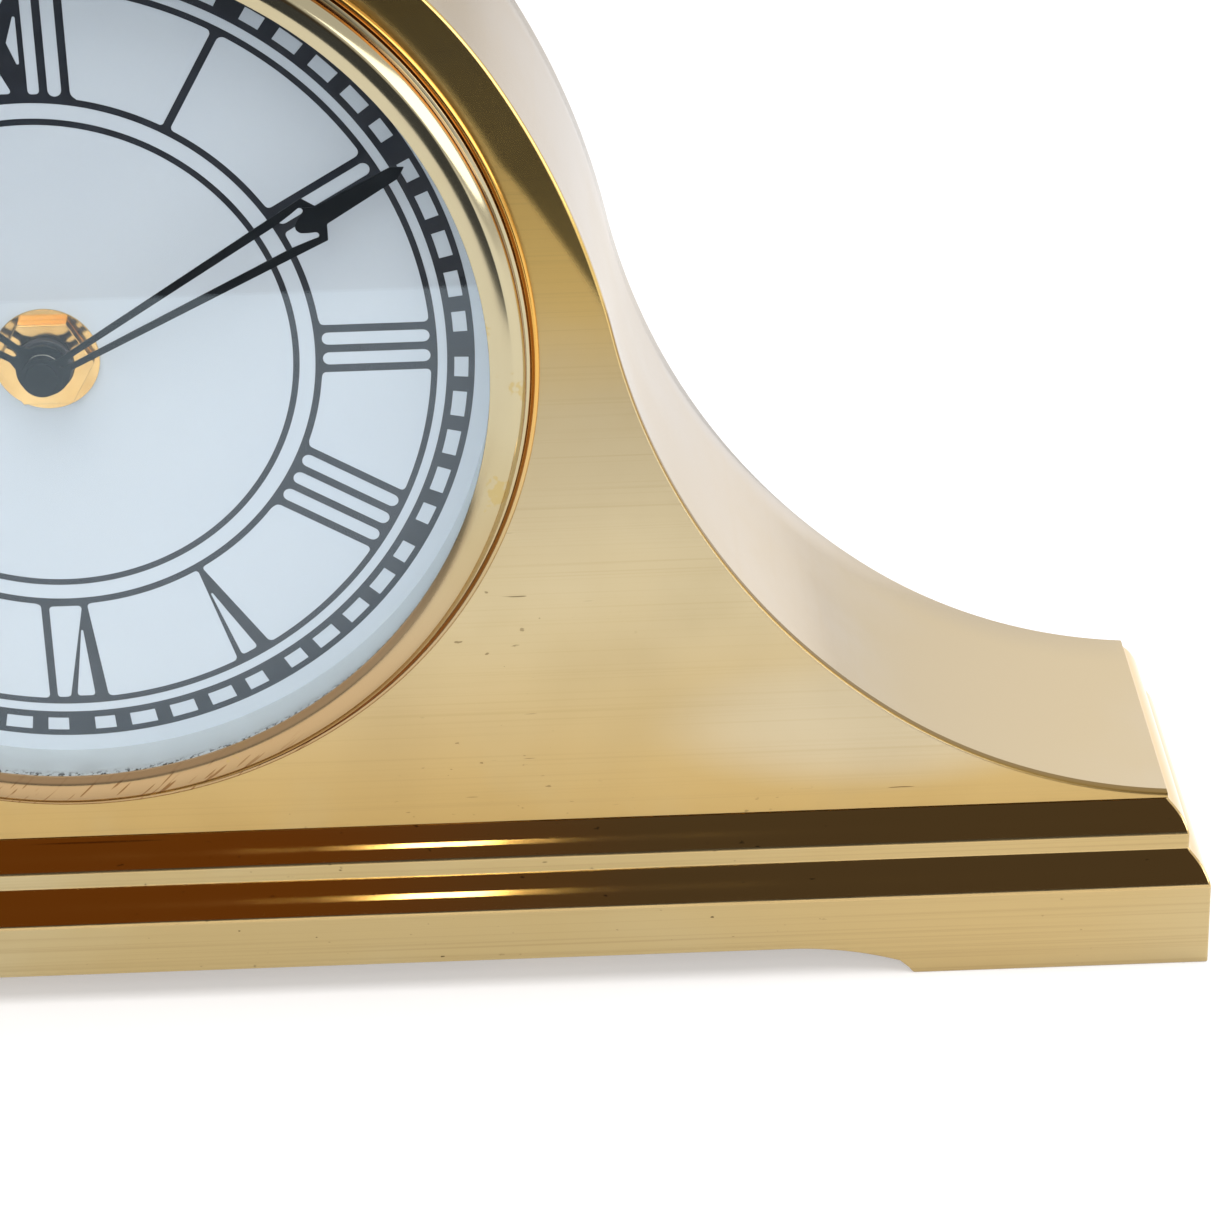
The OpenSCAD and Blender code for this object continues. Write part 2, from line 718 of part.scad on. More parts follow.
module chip() {
    color([0.06, 0.06, 0.06]) at_dial() disc(2.6, -14.8, -13.9, [17, 2]);
}

module crystal() {
    color([0.80, 0.80, 0.82]) at_dial() translate([22, 8, -13.8]) rotate([-90, 0, 0])
        cylinder(r = 1, h = 6);
}

module contact_plus() {
    plate_x = cell_len / 2 + 1.35;
    color([0.82, 0.82, 0.80]) at_dial() {
        translate([plate_x, bay_y - 5, move_rear + 2]) cube([0.5, 10, 11]);
        translate([cell_len / 2 + 0.3, bay_y, cell_z]) rotate([0, 90, 0]) cylinder(r = 2.2, h = 1.05);
    }
}

// Plate with the turns of a flattened conical spring
module contact_minus() {
    plate_x = -cell_len / 2 - 1.85;
    wire_r = 0.4;
    color([0.82, 0.82, 0.80]) at_dial() {
        translate([plate_x, bay_y - 5, move_rear + 2]) cube([0.5, 10, 11]);
        for (i = [0 : 1]) translate([plate_x + 0.7 + 0.4 * i, bay_y, cell_z]) rotate([0, 90, 0])
            rotate_extrude() translate([4 - 0.6 * i, 0]) circle(r = wire_r, $fn = 24);
    }
}

module battery() {
    nub = 1.2;
    color([0.72, 0.50, 0.26]) at_dial() translate([-cell_len / 2, bay_y, cell_z]) rotate([0, 90, 0]) {
        cylinder(r = cell_r, h = cell_len - nub);
        cylinder(r = 2.7, h = cell_len);
    }
}

front_plate();
top_band();
plinth();
bottom_panel();
back_rail();
back_lugs();
back_panel();
back_screws();
hinge_leaf();
hinge_screws();
hinge_pin();
door_disc();
latch_knob();
bezel();
glass();
wall_ring();
dial();
retainer_ring();
clamps();
clamp_screws();
dial_washer();
dial_nut();
rubber_washer();
hour_hand();
minute_hand();
hand_nut();
movement_front();
movement_back();
stator();
coil_bobbin();
coil_winding();
circuit_board();
chip();
crystal();
contact_plus();
contact_minus();
battery();
minute_arbor();
minute_wheel();
hour_wheel();
setting_knob();
centre_wheel();
third_wheel();
seconds_wheel();
intermediate_wheel();
rotor();
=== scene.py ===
"""Looks of a brass tambour desk clock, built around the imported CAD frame.

Outlines and sections are worked out in millimetres and stored in metres, in the frame of the CAD model:
+X is the clock's left to right, the front faces -Y and +Z is up.
"""

import json
import math

import bmesh
import bpy
from mathutils import Matrix, Vector
from mathutils.geometry import tessellate_polygon

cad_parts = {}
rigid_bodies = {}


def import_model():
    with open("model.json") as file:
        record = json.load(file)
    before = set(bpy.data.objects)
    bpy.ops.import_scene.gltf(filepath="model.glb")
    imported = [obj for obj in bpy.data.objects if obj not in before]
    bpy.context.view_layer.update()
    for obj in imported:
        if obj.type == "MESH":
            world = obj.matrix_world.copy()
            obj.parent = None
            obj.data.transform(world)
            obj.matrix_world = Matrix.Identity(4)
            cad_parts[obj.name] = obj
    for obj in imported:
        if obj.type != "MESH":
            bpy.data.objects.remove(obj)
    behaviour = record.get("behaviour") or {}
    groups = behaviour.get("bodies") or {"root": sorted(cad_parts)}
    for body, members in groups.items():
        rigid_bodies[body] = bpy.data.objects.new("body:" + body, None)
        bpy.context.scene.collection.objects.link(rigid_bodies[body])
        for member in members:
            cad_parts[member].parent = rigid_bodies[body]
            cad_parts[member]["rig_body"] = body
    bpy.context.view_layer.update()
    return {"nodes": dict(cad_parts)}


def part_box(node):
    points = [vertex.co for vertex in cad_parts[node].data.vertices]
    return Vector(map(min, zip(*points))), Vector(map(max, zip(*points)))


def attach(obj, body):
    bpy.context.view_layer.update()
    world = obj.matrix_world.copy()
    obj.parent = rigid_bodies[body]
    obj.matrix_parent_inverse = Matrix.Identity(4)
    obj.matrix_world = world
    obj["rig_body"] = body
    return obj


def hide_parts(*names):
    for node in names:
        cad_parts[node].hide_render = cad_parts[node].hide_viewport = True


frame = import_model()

MM = 0.001


# -------------------- dimensions, in millimetres, from the frame

def box_mm(node):
    low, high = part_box(node)
    return low / MM, high / MM


band_low, band_high = box_mm("top_band")
dial_low, dial_high = box_mm("dial")
glass_low, glass_high = box_mm("glass")
ring_low, ring_high = box_mm("wall_ring")
cell_low, cell_high = box_mm("battery")

FRONT_Y = box_mm("front_plate")[0].y
BACK_Y = band_high.y
PLINTH_TOP = band_low.z
CASE_HW = band_high.x
DIAL_Y = dial_low.y
DIAL_Z = (dial_low.z + dial_high.z) / 2
ARCH_R = band_high.z - DIAL_Z
DIAL_R = dial_high.x
TRACK_R = DIAL_R - 3.9
BEZEL_R = box_mm("bezel")[1].x
PLATE_T = 1.5
BAND_T = 1.2

# Arcs of the case outline: shoulder, hollow sweep and tail
SHOULDER_R, SWEEP_R, TAIL_R = 117.8, 100.5, 80.0
SHOULDER_START, SHOULDER_END, SWEEP_END = 32.0, 11.7, 233.7

# Plinth: how far each moulding stands out, the heights where the section changes, and the gap under its apron
STEP_OUT = -(box_mm("plinth")[0].y - FRONT_Y) / 2
FACE_TOP, STRIP_LOW, STRIP_TOP = 13.1, 18.1, 20.5
APRON_RISE, APRON_DROP, APRON_RUN = 4.8, 2.7, 16.5
FOOT_X, FOOT_LIFT, FOOT_EDGE = 121.5, 0.8, 0.6
APRON_FLAT = FOOT_X - 2 - APRON_RUN

LIP_H = DIAL_Y - glass_low.y + 0.6

# Angles of the hands from three o'clock, and the depths of their top faces in front of the dial
MINUTE_AT, HOUR_AT = 29.4, 144.95
MINUTE_TOP = DIAL_Y - box_mm("minute_hand")[0].y
HOUR_TOP = DIAL_Y - box_mm("hour_hand")[0].y


def polar(radius, degrees, centre=(0.0, 0.0)):
    angle = math.radians(degrees)
    return (centre[0] + radius * math.cos(angle), centre[1] + radius * math.sin(angle))


def arc(centre, radius, start, end, steps):
    """Points along an arc, without its first point."""
    return [polar(radius, start + (end - start) * i / steps, centre) for i in range(1, steps + 1)]


def smooth_step(x):
    x = min(1.0, max(0.0, x))
    return x * x * (3 - 2 * x)


# -------------------- mesh helpers

def add_object(name, data):
    made = bpy.data.objects.new(name, data)
    bpy.context.scene.collection.objects.link(made)
    return made


def link(mesh, material, replaced=(), body="case"):
    """Adds a finished mesh as a piece of the clock, under the mesh's name."""
    piece = add_object(mesh.name, mesh)
    mesh.materials.clear()
    mesh.materials.append(material)
    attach(piece, body)
    if replaced:
        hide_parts(*replaced)
    return piece


def finish_mesh(name, bm, sharp):
    """The edited geometry as a mesh, smooth apart from edges sharper than the given angle."""
    mesh = bpy.data.meshes.new(name)
    bm.to_mesh(mesh)
    bm.free()
    mesh.polygons.foreach_set("use_smooth", [True] * len(mesh.polygons))
    mesh.set_sharp_from_angle(angle=math.radians(sharp))
    return mesh


def make_mesh(name, points, faces, sharp=30.0):
    """A closed mesh from points in millimetres. Repeated points and faces are dropped."""
    bm = bmesh.new()
    verts = [bm.verts.new((p[0] * MM, p[1] * MM, p[2] * MM)) for p in points]
    for face in faces:
        if len(set(face)) > 2:
            try:
                bm.faces.new([verts[i] for i in dict.fromkeys(face)])
            except ValueError:
                pass
    bmesh.ops.remove_doubles(bm, verts=bm.verts, dist=2e-7)
    bmesh.ops.dissolve_degenerate(bm, edges=bm.edges, dist=1e-7)
    bmesh.ops.recalc_face_normals(bm, faces=bm.faces)
    return finish_mesh(name, bm, sharp)


def walls(count, sections, closed=True):
    """Faces between neighbouring sections of count points each. The last one meets the first if closed."""
    starts = [i * count for i in range(sections)]
    pairs = zip(starts, starts[1:] + starts[:1] if closed else starts[1:])
    return [(a + j, b + j, b + (j + 1) % count, a + (j + 1) % count) for a, b in pairs for j in range(count)]


def dial_place(x, y, z):
    """From dial coordinates, with z towards the viewer, to the frame."""
    return (x, DIAL_Y - z, DIAL_Z + y)


def revolve(name, section, segments=256, sharp=30.0, place=dial_place):
    """A closed section of (radius, z) points turned round the dial's axis."""
    points = []
    for i in range(segments):
        c, s = polar(1.0, 360.0 * i / segments)
        points += [place(r * c, r * s, z) for r, z in section]
    return make_mesh(name, points, walls(len(section), segments), sharp)


def slab(name, loops, low, high):
    """A flat plate between two depths: the first loop is its outline and the others are its openings."""
    loops = [[Vector((x, y, 0.0)) for x, y in loop] for loop in loops]
    flat = [p for loop in loops for p in loop]
    total = len(flat)
    points = [dial_place(p.x, p.y, z) for z in (low, high) for p in flat]
    caps = tessellate_polygon(loops)
    faces = [tuple(t) for t in caps] + [tuple(i + total for i in reversed(t)) for t in caps]
    start = 0
    for loop in loops:
        n = len(loop)
        faces += [(start + i, start + (i + 1) % n, total + start + (i + 1) % n, total + start + i)
                  for i in range(n)]
        start += n
    return make_mesh(name, points, faces)


def rounded(corners, radius, steps=5):
    """A polygon with its corners rounded. radius is one value, or one for each corner."""
    count = len(corners)
    radii = radius if isinstance(radius, (list, tuple)) else [radius] * count
    points = []
    for i, corner in enumerate(corners):
        p = Vector(corner)
        back = Vector(corners[i - 1]) - p
        ahead = Vector(corners[(i + 1) % count]) - p
        r = radii[i]
        if r <= 0:
            points.append(tuple(p))
            continue
        half = back.angle(ahead) / 2
        cut = min(r / math.tan(half), back.length * 0.49, ahead.length * 0.49)
        r = cut * math.tan(half)
        back.normalize()
        ahead.normalize()
        centre = p + (back + ahead).normalized() * (r / math.sin(half))
        first, last = p + back * cut - centre, p + ahead * cut - centre
        turn = first.angle_signed(last)
        for k in range(steps + 1):
            points.append(tuple(centre + Matrix.Rotation(-turn * k / steps, 2) @ first))
    return points


def circle(radius, segments=128, centre=(0.0, 0.0)):
    return [polar(radius, 360.0 * i / segments, centre) for i in range(segments)]


def turned(points, degrees):
    """The points turned about the dial's axis."""
    c, s = polar(1.0, degrees)
    return [(x * c - y * s, x * s + y * c) for x, y in points]


def add_bevel(piece, width, segments=2, angle=40.0):
    """Rounds the piece's crisp edges by a width in millimetres."""
    bevel = piece.modifiers.new("edge_round", "BEVEL")
    bevel.width = width * MM
    bevel.segments = segments
    bevel.limit_method = "ANGLE"
    bevel.angle_limit = math.radians(angle)
    bevel.use_clamp_overlap = False
    bevel.harden_normals = True
    return piece


def softened(node, name, width, material):
    """A copy of a CAD node with merged facets and rounded edges, which stands for it."""
    source = frame["nodes"][node]
    bm = bmesh.new()
    bm.from_mesh(source.data)
    bmesh.ops.remove_doubles(bm, verts=bm.verts, dist=1e-6)
    bmesh.ops.dissolve_limit(bm, angle_limit=math.radians(0.4), verts=bm.verts, edges=bm.edges)
    piece = link(finish_mesh(name, bm, 32), material, [node], source["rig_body"])
    return add_bevel(piece, width)


# -------------------- material helpers

def rgb(red, green, blue):
    """A linear colour from values of 0 to 255 as a screen shows them."""
    def linear(v):
        v /= 255
        return v / 12.92 if v <= 0.04045 else ((v + 0.055) / 1.055) ** 2.4
    return (linear(red), linear(green), linear(blue), 1.0)


class Graph:
    """The node tree of a material or of the world, with short calls for the nodes used here."""

    def __init__(self, owner, shader="Principled BSDF", space="Object"):
        owner.use_nodes = True
        self.owner = owner
        self.tree = owner.node_tree
        self.shader = self.tree.nodes[shader]
        self.coords = self.node("ShaderNodeTexCoord").outputs[space]
        self.tone = None

    def node(self, kind, inputs=(), **settings):
        """Adds a node with its settings, and its inputs as values or as outputs of other nodes."""
        made = self.tree.nodes.new(kind)
        for key, value in settings.items():
            setattr(made, key, value)
        for key, value in dict(inputs).items():
            self.feed(made.inputs[key], value)
        return made

    def feed(self, socket, value):
        if isinstance(value, bpy.types.NodeSocket):
            self.tree.links.new(value, socket)
        else:
            socket.default_value = value

    def set(self, **values):
        """Feeds the shader's own inputs."""
        for key, value in values.items():
            self.feed(self.shader.inputs[key.replace("_", " ").title().replace("Ior", "IOR")], value)

    def stretch(self, scale, lean=0.0):
        """Object coordinates leant about Y, in radians, then scaled along the leaning axes."""
        leant = self.node("ShaderNodeMapping", {"Vector": self.coords, "Rotation": (0.0, lean, 0.0)})
        return self.node("ShaderNodeMapping", {"Vector": leant.outputs[0], "Scale": scale}).outputs[0]

    def noise(self, scale, detail=3.0, vector=None, distortion=0.0, roughness=0.5):
        inputs = {"Vector": vector or self.coords, "Scale": scale, "Detail": detail,
                  "Roughness": roughness, "Distortion": distortion}
        return self.node("ShaderNodeTexNoise", inputs).outputs["Fac"]

    def cells(self, scale, vector=None):
        made = self.node("ShaderNodeTexVoronoi", {"Vector": vector or self.coords, "Scale": scale})
        return made.outputs["Distance"], made.outputs["Color"]

    def ramp(self, value, low, high, to_low=0.0, to_high=1.0):
        inputs = {"Value": value, "From Min": low, "From Max": high, "To Min": to_low, "To Max": to_high}
        return self.node("ShaderNodeMapRange", inputs, interpolation_type="SMOOTHSTEP").outputs["Result"]

    def math(self, operation, a, b=0.0):
        return self.node("ShaderNodeMath", {0: a, 1: b}, operation=operation).outputs[0]

    def times(self, a, b):
        return self.math("MULTIPLY", a, b)

    def within(self, value, low, high, soft, most=1.0):
        """A share that rises at one bound and falls at the other, both with soft edges."""
        return self.times(self.ramp(value, low - soft, low + soft, 0.0, most),
                          self.ramp(value, high - soft, high + soft, 1.0, 0.0))

    def axis(self, name):
        """One object coordinate, in metres."""
        return self.node("ShaderNodeSeparateXYZ", {0: self.coords}).outputs[name]

    def drift(self, scale, low=0.0, high=1.0, detail=3.0):
        """A number that wanders between two bounds, in soft patches."""
        return self.ramp(self.noise(scale, detail), 0.3, 0.7, low, high)

    def mix(self, factor, a, b, numbers=False):
        """From a to b as the factor goes from 0 to 1: two colours, or two numbers."""
        first, second, result = (2, 3, 0) if numbers else (6, 7, 2)
        inputs = {0: factor, first: a, second: b}
        return self.node("ShaderNodeMix", inputs, data_type="FLOAT" if numbers else "RGBA").outputs[result]

    def tint(self, share, colour):
        """Mixes a colour into the tone so far."""
        self.tone = self.mix(share, self.tone, colour)

    def bump(self, height, depth):
        """Adds a height in millimetres to the surface, on top of any earlier bump."""
        made = self.node("ShaderNodeBump", {"Distance": depth * MM, "Height": height})
        socket = self.shader.inputs["Normal"]
        if socket.is_linked:
            self.feed(made.inputs["Normal"], socket.links[0].from_socket)
        self.feed(socket, made.outputs["Normal"])

    def radius(self):
        """Distance from the dial's axis, in metres."""
        x, z = self.axis("X"), self.math("SUBTRACT", self.axis("Z"), DIAL_Z * MM)
        return self.math("SQRT", self.math("ADD", self.times(x, x), self.times(z, z)))

    def patch(self, centre, size):
        """Share that is 1 at a point of the front and falls to 0 round an oval, both in millimetres."""
        squares = []
        for axis, middle, half in zip("XZ", centre, size):
            away = self.times(self.math("SUBTRACT", self.axis(axis), middle * MM), 1 / half / MM)
            squares.append(self.times(away, away))
        return self.ramp(self.math("ADD", *squares), 0.0, 1.0, 1.0, 0.0)

    def specks(self, amount):
        """Small irregular marks in a few loose clusters."""
        marks = self.ramp(self.noise(1150.0, 2.0, self.stretch((0.5, 1.0, 1.0))), 0.71, 0.76, 0.0, amount)
        return self.times(marks, self.ramp(self.noise(30.0, 2.0), 0.48, 0.62))

    def grain(self, amount):
        """Brushing round the upright axis, which spreads highlights across the lines."""
        tangent = self.node("ShaderNodeTangent", direction_type="RADIAL", axis="Z")
        self.set(Tangent=tangent.outputs[0], Anisotropic=amount, Anisotropic_Rotation=0.25)


def look(name):
    """A new material, ready for its nodes."""
    return Graph(bpy.data.materials.new(name))


def metal(name, light, dark, rough, rough_spread=0.05, cloud=22.0, waves=0.0, wave_size=30.0,
          lines=0.0, line_scale=(14.0, 300.0, 3200.0), brushed=0.0, specks=0.0, edge_on=None):
    """Metal with clouds of two screen colours, hand-polished waves, brushed lines and small dark specks."""
    light, dark = rgb(*light), rgb(*dark)
    g = look(name)
    clouds = g.ramp(g.noise(cloud, 4.0), 0.34, 0.66)
    g.tone = g.mix(clouds, light, dark)
    g.tint(g.ramp(g.noise(420.0, 2.0), 0.35, 0.8, 0.0, 0.14), dark)
    rough_map = g.drift(cloud * 2.3, rough - rough_spread, rough + rough_spread)
    if waves:
        g.bump(g.noise(wave_size, 1.0), waves)
    if lines:
        streaks = g.noise(1.0, 3.0, g.stretch(line_scale))
        g.bump(streaks, lines)
        g.tint(g.ramp(streaks, 0.5, 0.78, 0.0, 0.22), dark)
    if specks:
        g.tint(g.specks(specks), (0.06, 0.042, 0.02, 1.0))
    g.set(Base_Color=g.tone, Roughness=rough_map, Metallic=1.0)
    if edge_on:
        g.set(Specular_Tint=edge_on)
    if brushed:
        g.grain(brushed)
    return g.owner


def plastic(name, colour, rough, fine, size=900.0):
    """Moulded plastic or rubber with a fine grain and slightly uneven gloss."""
    g = look(name)
    darker = tuple(c * 0.82 for c in colour[:3]) + (1.0,)
    g.tone = g.mix(g.drift(60.0, detail=4.0), colour, darker)
    g.set(Base_Color=g.tone, Roughness=g.drift(150.0, rough - 0.06, rough + 0.06))
    g.bump(g.noise(size), fine)
    return g.owner


# -------------------- materials

def front_brass():
    """Satin front plate: level brushing, painted reflection as richer gold low and high, a pale patch low on
    the right, a polished rim and painted shade on its rounded edge.
    """
    g = look("front_plate_brass")
    cloud = g.noise(16.0, 5.0, g.stretch((0.7, 1.0, 1.3)))
    drift = g.times(g.math("SUBTRACT", cloud, 0.5), 0.035)
    level = g.math("ADD", g.axis("Z"), drift)
    g.tone = g.mix(g.ramp(cloud, 0.35, 0.65), rgb(205, 190, 154), rgb(198, 179, 136))
    # Painted reflection: a richer, darker gold towards the bottom of the plate and a brighter gold towards
    # the top, set by height.
    g.tint(g.ramp(level, 0.024, 0.062, 0.9, 0.0), rgb(192, 161, 100))
    g.tint(g.ramp(level, 0.088, 0.120, 0.0, 0.85), rgb(218, 182, 102))
    # A pale patch low on the right side of the plate.
    g.tint(g.times(g.patch((116, 40), (36, 13)), 0.75), rgb(204, 192, 164))
    g.tint(g.ramp(g.noise(55.0), 0.5, 0.75, 0.0, 0.22), rgb(190, 174, 134))
    streaks = g.noise(1.0, 4.0, g.stretch((11.0, 200.0, 2600.0)))
    g.tint(g.ramp(streaks, 0.48, 0.8, 0.0, 0.22), rgb(168, 142, 92))
    g.tint(g.specks(0.6), rgb(98, 78, 46))
    short = g.noise(1.0, 1.0, g.stretch((150.0, 100.0, 1500.0), 0.03))
    scratch = g.times(g.ramp(short, 0.76, 0.80, 0.0, 0.7), g.ramp(g.noise(26.0, 1.0), 0.50, 0.60))
    g.tint(scratch, rgb(82, 62, 34))
    rim = g.node("ShaderNodeAttribute", attribute_name="rim")
    # Painted shade: the rounded edge behind the front face is darkened, less where the rim is bent, to dull
    # its reflection.
    rounding = g.ramp(g.axis("Y"), (FRONT_Y + 0.01) * MM, (FRONT_Y + 0.12) * MM)
    edge = g.math("MAXIMUM", g.math("SUBTRACT", rounding, rim.outputs["Fac"]), 0.0)
    g.tint(edge, rgb(146, 118, 66))
    rough = g.mix(rim.outputs["Fac"], g.drift(40.0, 0.285, 0.34), 0.15, numbers=True)
    g.set(Base_Color=g.tone, Metallic=1.0, Roughness=rough)
    g.bump(g.noise(24.0, 1.0), 0.05)
    g.bump(streaks, 0.0014)
    g.grain(0.7)
    return g.owner


def plinth_finish():
    """Satin face and strip with level brushing, and polished mouldings with hand-worked waves."""
    g = look("plinth_brass")
    height = g.axis("Z")
    lower = g.within(height, FACE_TOP * MM, STRIP_LOW * MM, 0.3 * MM)
    polish = g.math("MAXIMUM", lower, g.ramp(height, (STRIP_TOP - 0.3) * MM, (STRIP_TOP + 0.3) * MM))
    cloud = g.noise(18.0, 4.0, g.stretch((0.6, 1.0, 1.0)))
    g.tone = g.mix(g.ramp(cloud, 0.34, 0.66), rgb(190, 179, 145), rgb(184, 163, 116))
    g.tint(g.ramp(g.axis("X"), 0.06, 0.14, 0.0, 0.6), rgb(188, 162, 112))
    streaks = g.noise(1.0, 4.0, g.stretch((9.0, 200.0, 2600.0)))
    g.tint(g.ramp(streaks, 0.46, 0.74, 0.0, 0.28), rgb(150, 126, 84))
    g.tint(polish, rgb(214, 184, 128))
    g.tint(g.specks(0.85), rgb(66, 52, 32))
    rough = g.mix(polish, g.drift(42.0, 0.285, 0.33), g.drift(70.0, 0.05, 0.075), numbers=True)
    g.set(Base_Color=g.tone, Metallic=1.0, Roughness=rough)
    g.bump(g.noise(1.0, 1.0, g.stretch((9.0, 30.0, 60.0))), 0.03)
    g.bump(g.noise(1.0, 3.0, g.stretch((12.0, 200.0, 1400.0))), 0.0012)
    return g.owner


def clear_glass():
    g = look("clock_glass")
    smear = g.noise(35.0, 3.0, distortion=0.5)
    g.set(Base_Color=(0.985, 0.995, 1.0, 1.0), Roughness=g.ramp(smear, 0.55, 0.85, 0.0, 0.012))
    g.set(Transmission_Weight=1.0, IOR=1.5, Specular_Tint=(0.68, 0.86, 1.0, 1.0))
    return g.owner


def dial_paint():
    g = look("dial_paint")
    g.tone = g.mix(g.drift(14.0), rgb(200, 210, 219), rgb(193, 204, 215))
    dust, pick = g.cells(330.0)
    g.tint(g.times(g.ramp(dust, 0.02, 0.06, 0.45, 0.0), g.ramp(pick, 0.85, 0.87)), rgb(120, 128, 136))
    g.set(Base_Color=g.tone, Roughness=g.drift(500.0, 0.46, 0.54, detail=2.0), Specular_IOR_Level=0.12)
    g.bump(g.noise(2600.0, 2.0), 0.002)
    return g.owner


def dial_ink():
    g = look("dial_ink")
    g.tone = g.mix(g.drift(220.0), rgb(14, 19, 28), rgb(24, 30, 40))
    g.set(Base_Color=g.tone, Roughness=g.drift(900.0, 0.32, 0.42, detail=2.0))
    g.bump(g.noise(1800.0, 2.0), 0.003)
    return g.owner


def hand_paint():
    g = look("hand_black")
    g.tone = g.mix(g.ramp(g.noise(300.0), 0.35, 0.7), rgb(5, 8, 10), rgb(12, 16, 19))
    g.set(Base_Color=g.tone, Roughness=g.drift(420.0, 0.44, 0.54), Specular_IOR_Level=0.15)
    g.bump(g.noise(1500.0), 0.0015)
    return g.owner


def silvered_wall():
    """Silvered ring with a speckled line of old sealant where it meets the glass, and painted shade that
    greys it towards the bottom.
    """
    g = look("silvered_wall")
    depth = g.times(g.axis("Y"), -1.0)
    edge = g.ramp(depth, -(ring_low.y + 1.5) * MM, -(ring_low.y + 0.1) * MM)
    flakes = g.ramp(g.noise(1500.0, 4.0, roughness=0.7), 0.50, 0.58)
    dirt = g.times(edge, flakes)
    g.tone = g.mix(g.drift(30.0), rgb(222, 230, 228), rgb(208, 218, 220))
    # Painted shade: greyer towards the bottom of the ring.
    g.tint(g.ramp(g.axis("Z"), 0.045, 0.10, 0.8, 0.0), rgb(186, 190, 190))
    g.tint(dirt, rgb(60, 58, 52))
    g.set(Base_Color=g.tone, Metallic=0.55, Roughness=g.ramp(dirt, 0.0, 1.0, 0.34, 0.6))
    g.bump(g.noise(200.0), 0.01)
    g.bump(dirt, 0.06)
    return g.owner


def bezel_brass():
    """Polished bezel: pale crest, deep gold painted reflection on the upper bead, brown lines of painted
    shade in its grooves, painted shade low down and on the lower lip, scratches and tarnish spots.
    """
    g = look("bezel_brass")
    out = g.radius()

    def band(low, high, most):
        """Share of a ring between two radii given from the bezel's edge, in millimetres."""
        return g.within(out, (BEZEL_R - low) * MM, (BEZEL_R - high) * MM, 0.05 * MM, most)

    g.tone = g.mix(g.ramp(g.noise(26.0), 0.35, 0.65), rgb(182, 172, 142), rgb(174, 160, 124))
    # Painted shade: darker and warmer towards the bottom of the bezel.
    g.tint(g.ramp(g.axis("Z"), 0.045, 0.085, 0.8, 0.0), rgb(172, 140, 98))
    # Painted reflection: deep gold on the bead, only on the upper part of the bezel.
    upper_bead_reflection = g.times(band(1.08, 0.0, 0.85), g.ramp(g.axis("Z"), (DIAL_Z - 40) * MM, (DIAL_Z + 5) * MM))
    g.tint(upper_bead_reflection, rgb(214, 160, 66))
    # Painted shade: brown lines along the two grooves.
    g.tint(band(2.06, 1.86, 0.8), rgb(150, 92, 36))
    g.tint(band(1.32, 1.12, 0.8), rgb(150, 92, 36))
    stain = g.math("ADD", g.noise(95.0, 2.0), g.times(g.noise(900.0, 2.0), 0.35))
    g.tint(g.ramp(stain, 0.86, 0.91, 0.0, 0.5), rgb(176, 152, 84))
    scratches = g.noise(1.0, 1.0, g.stretch((160.0, 100.0, 2400.0), 0.75))
    worn = g.times(g.ramp(scratches, 0.63, 0.67), g.ramp(g.axis("Z"), 0.036, 0.046, 0.75, 0.0))
    g.tint(worn, rgb(120, 78, 36))
    # Painted shade: the inner lip's lower half is tinted a darker tan and made less metallic.
    lip = g.times(g.ramp(out, (BEZEL_R - 6.2) * MM, (BEZEL_R - 5.5) * MM, 1.0, 0.0),
                  g.ramp(g.axis("Z"), (DIAL_Z - 45) * MM, (DIAL_Z - 10) * MM, 1.0, 0.0))
    g.tint(g.times(lip, 0.8), rgb(166, 140, 106))
    g.set(Base_Color=g.tone, Metallic=g.math("SUBTRACT", 1.0, g.times(lip, 0.6)),
          Roughness=g.drift(70.0, 0.09, 0.14))
    g.bump(g.noise(45.0, 1.0), 0.03)
    return g.owner


def cell_wrap():
    """Printed film of the cell: a copper-coloured collar, a thin pale line and a black body."""
    g = look("cell_wrap")
    along = g.axis("X")
    collar = cell_high.x * MM - 0.0155
    g.tone = g.mix(g.ramp(along, collar - 0.0002, collar), rgb(24, 24, 26), rgb(190, 120, 62))
    g.tint(g.within(along, collar - 0.0013, collar - 0.0003, 0.0001), rgb(222, 214, 196))
    g.tint(g.ramp(g.noise(160.0, 4.0), 0.55, 0.8, 0.0, 0.3), rgb(120, 112, 100))
    g.set(Base_Color=g.tone, Roughness=g.drift(90.0, 0.24, 0.34), Metallic=0.35)
    g.bump(g.noise(260.0, 2.0), 0.02)
    return g.owner


def copper_turns():
    """Fine enamelled wire wound round the bobbin."""
    g = look("copper_turns")
    wire = g.node("ShaderNodeTexWave", {"Vector": g.coords, "Scale": 900.0, "Distortion": 0.4},
                  wave_type="BANDS", bands_direction="X")
    g.tone = g.mix(wire.outputs["Fac"], rgb(96, 42, 20), rgb(196, 104, 56))
    g.set(Base_Color=g.tone, Metallic=1.0, Roughness=g.drift(200.0, 0.25, 0.36))
    g.bump(wire.outputs["Fac"], 0.05)
    return g.owner


def board():
    """Green lacquered board with a lighter tone over the copper tracks."""
    g = look("circuit_board")
    tracks, _ = g.cells(420.0, g.stretch((1.0, 1.0, 0.35)))
    g.tone = g.mix(g.ramp(tracks, 0.30, 0.36), rgb(34, 96, 56), rgb(20, 70, 40))
    g.set(Base_Color=g.tone, Roughness=g.drift(300.0, 0.3, 0.4))
    g.bump(tracks, 0.02)
    return g.owner


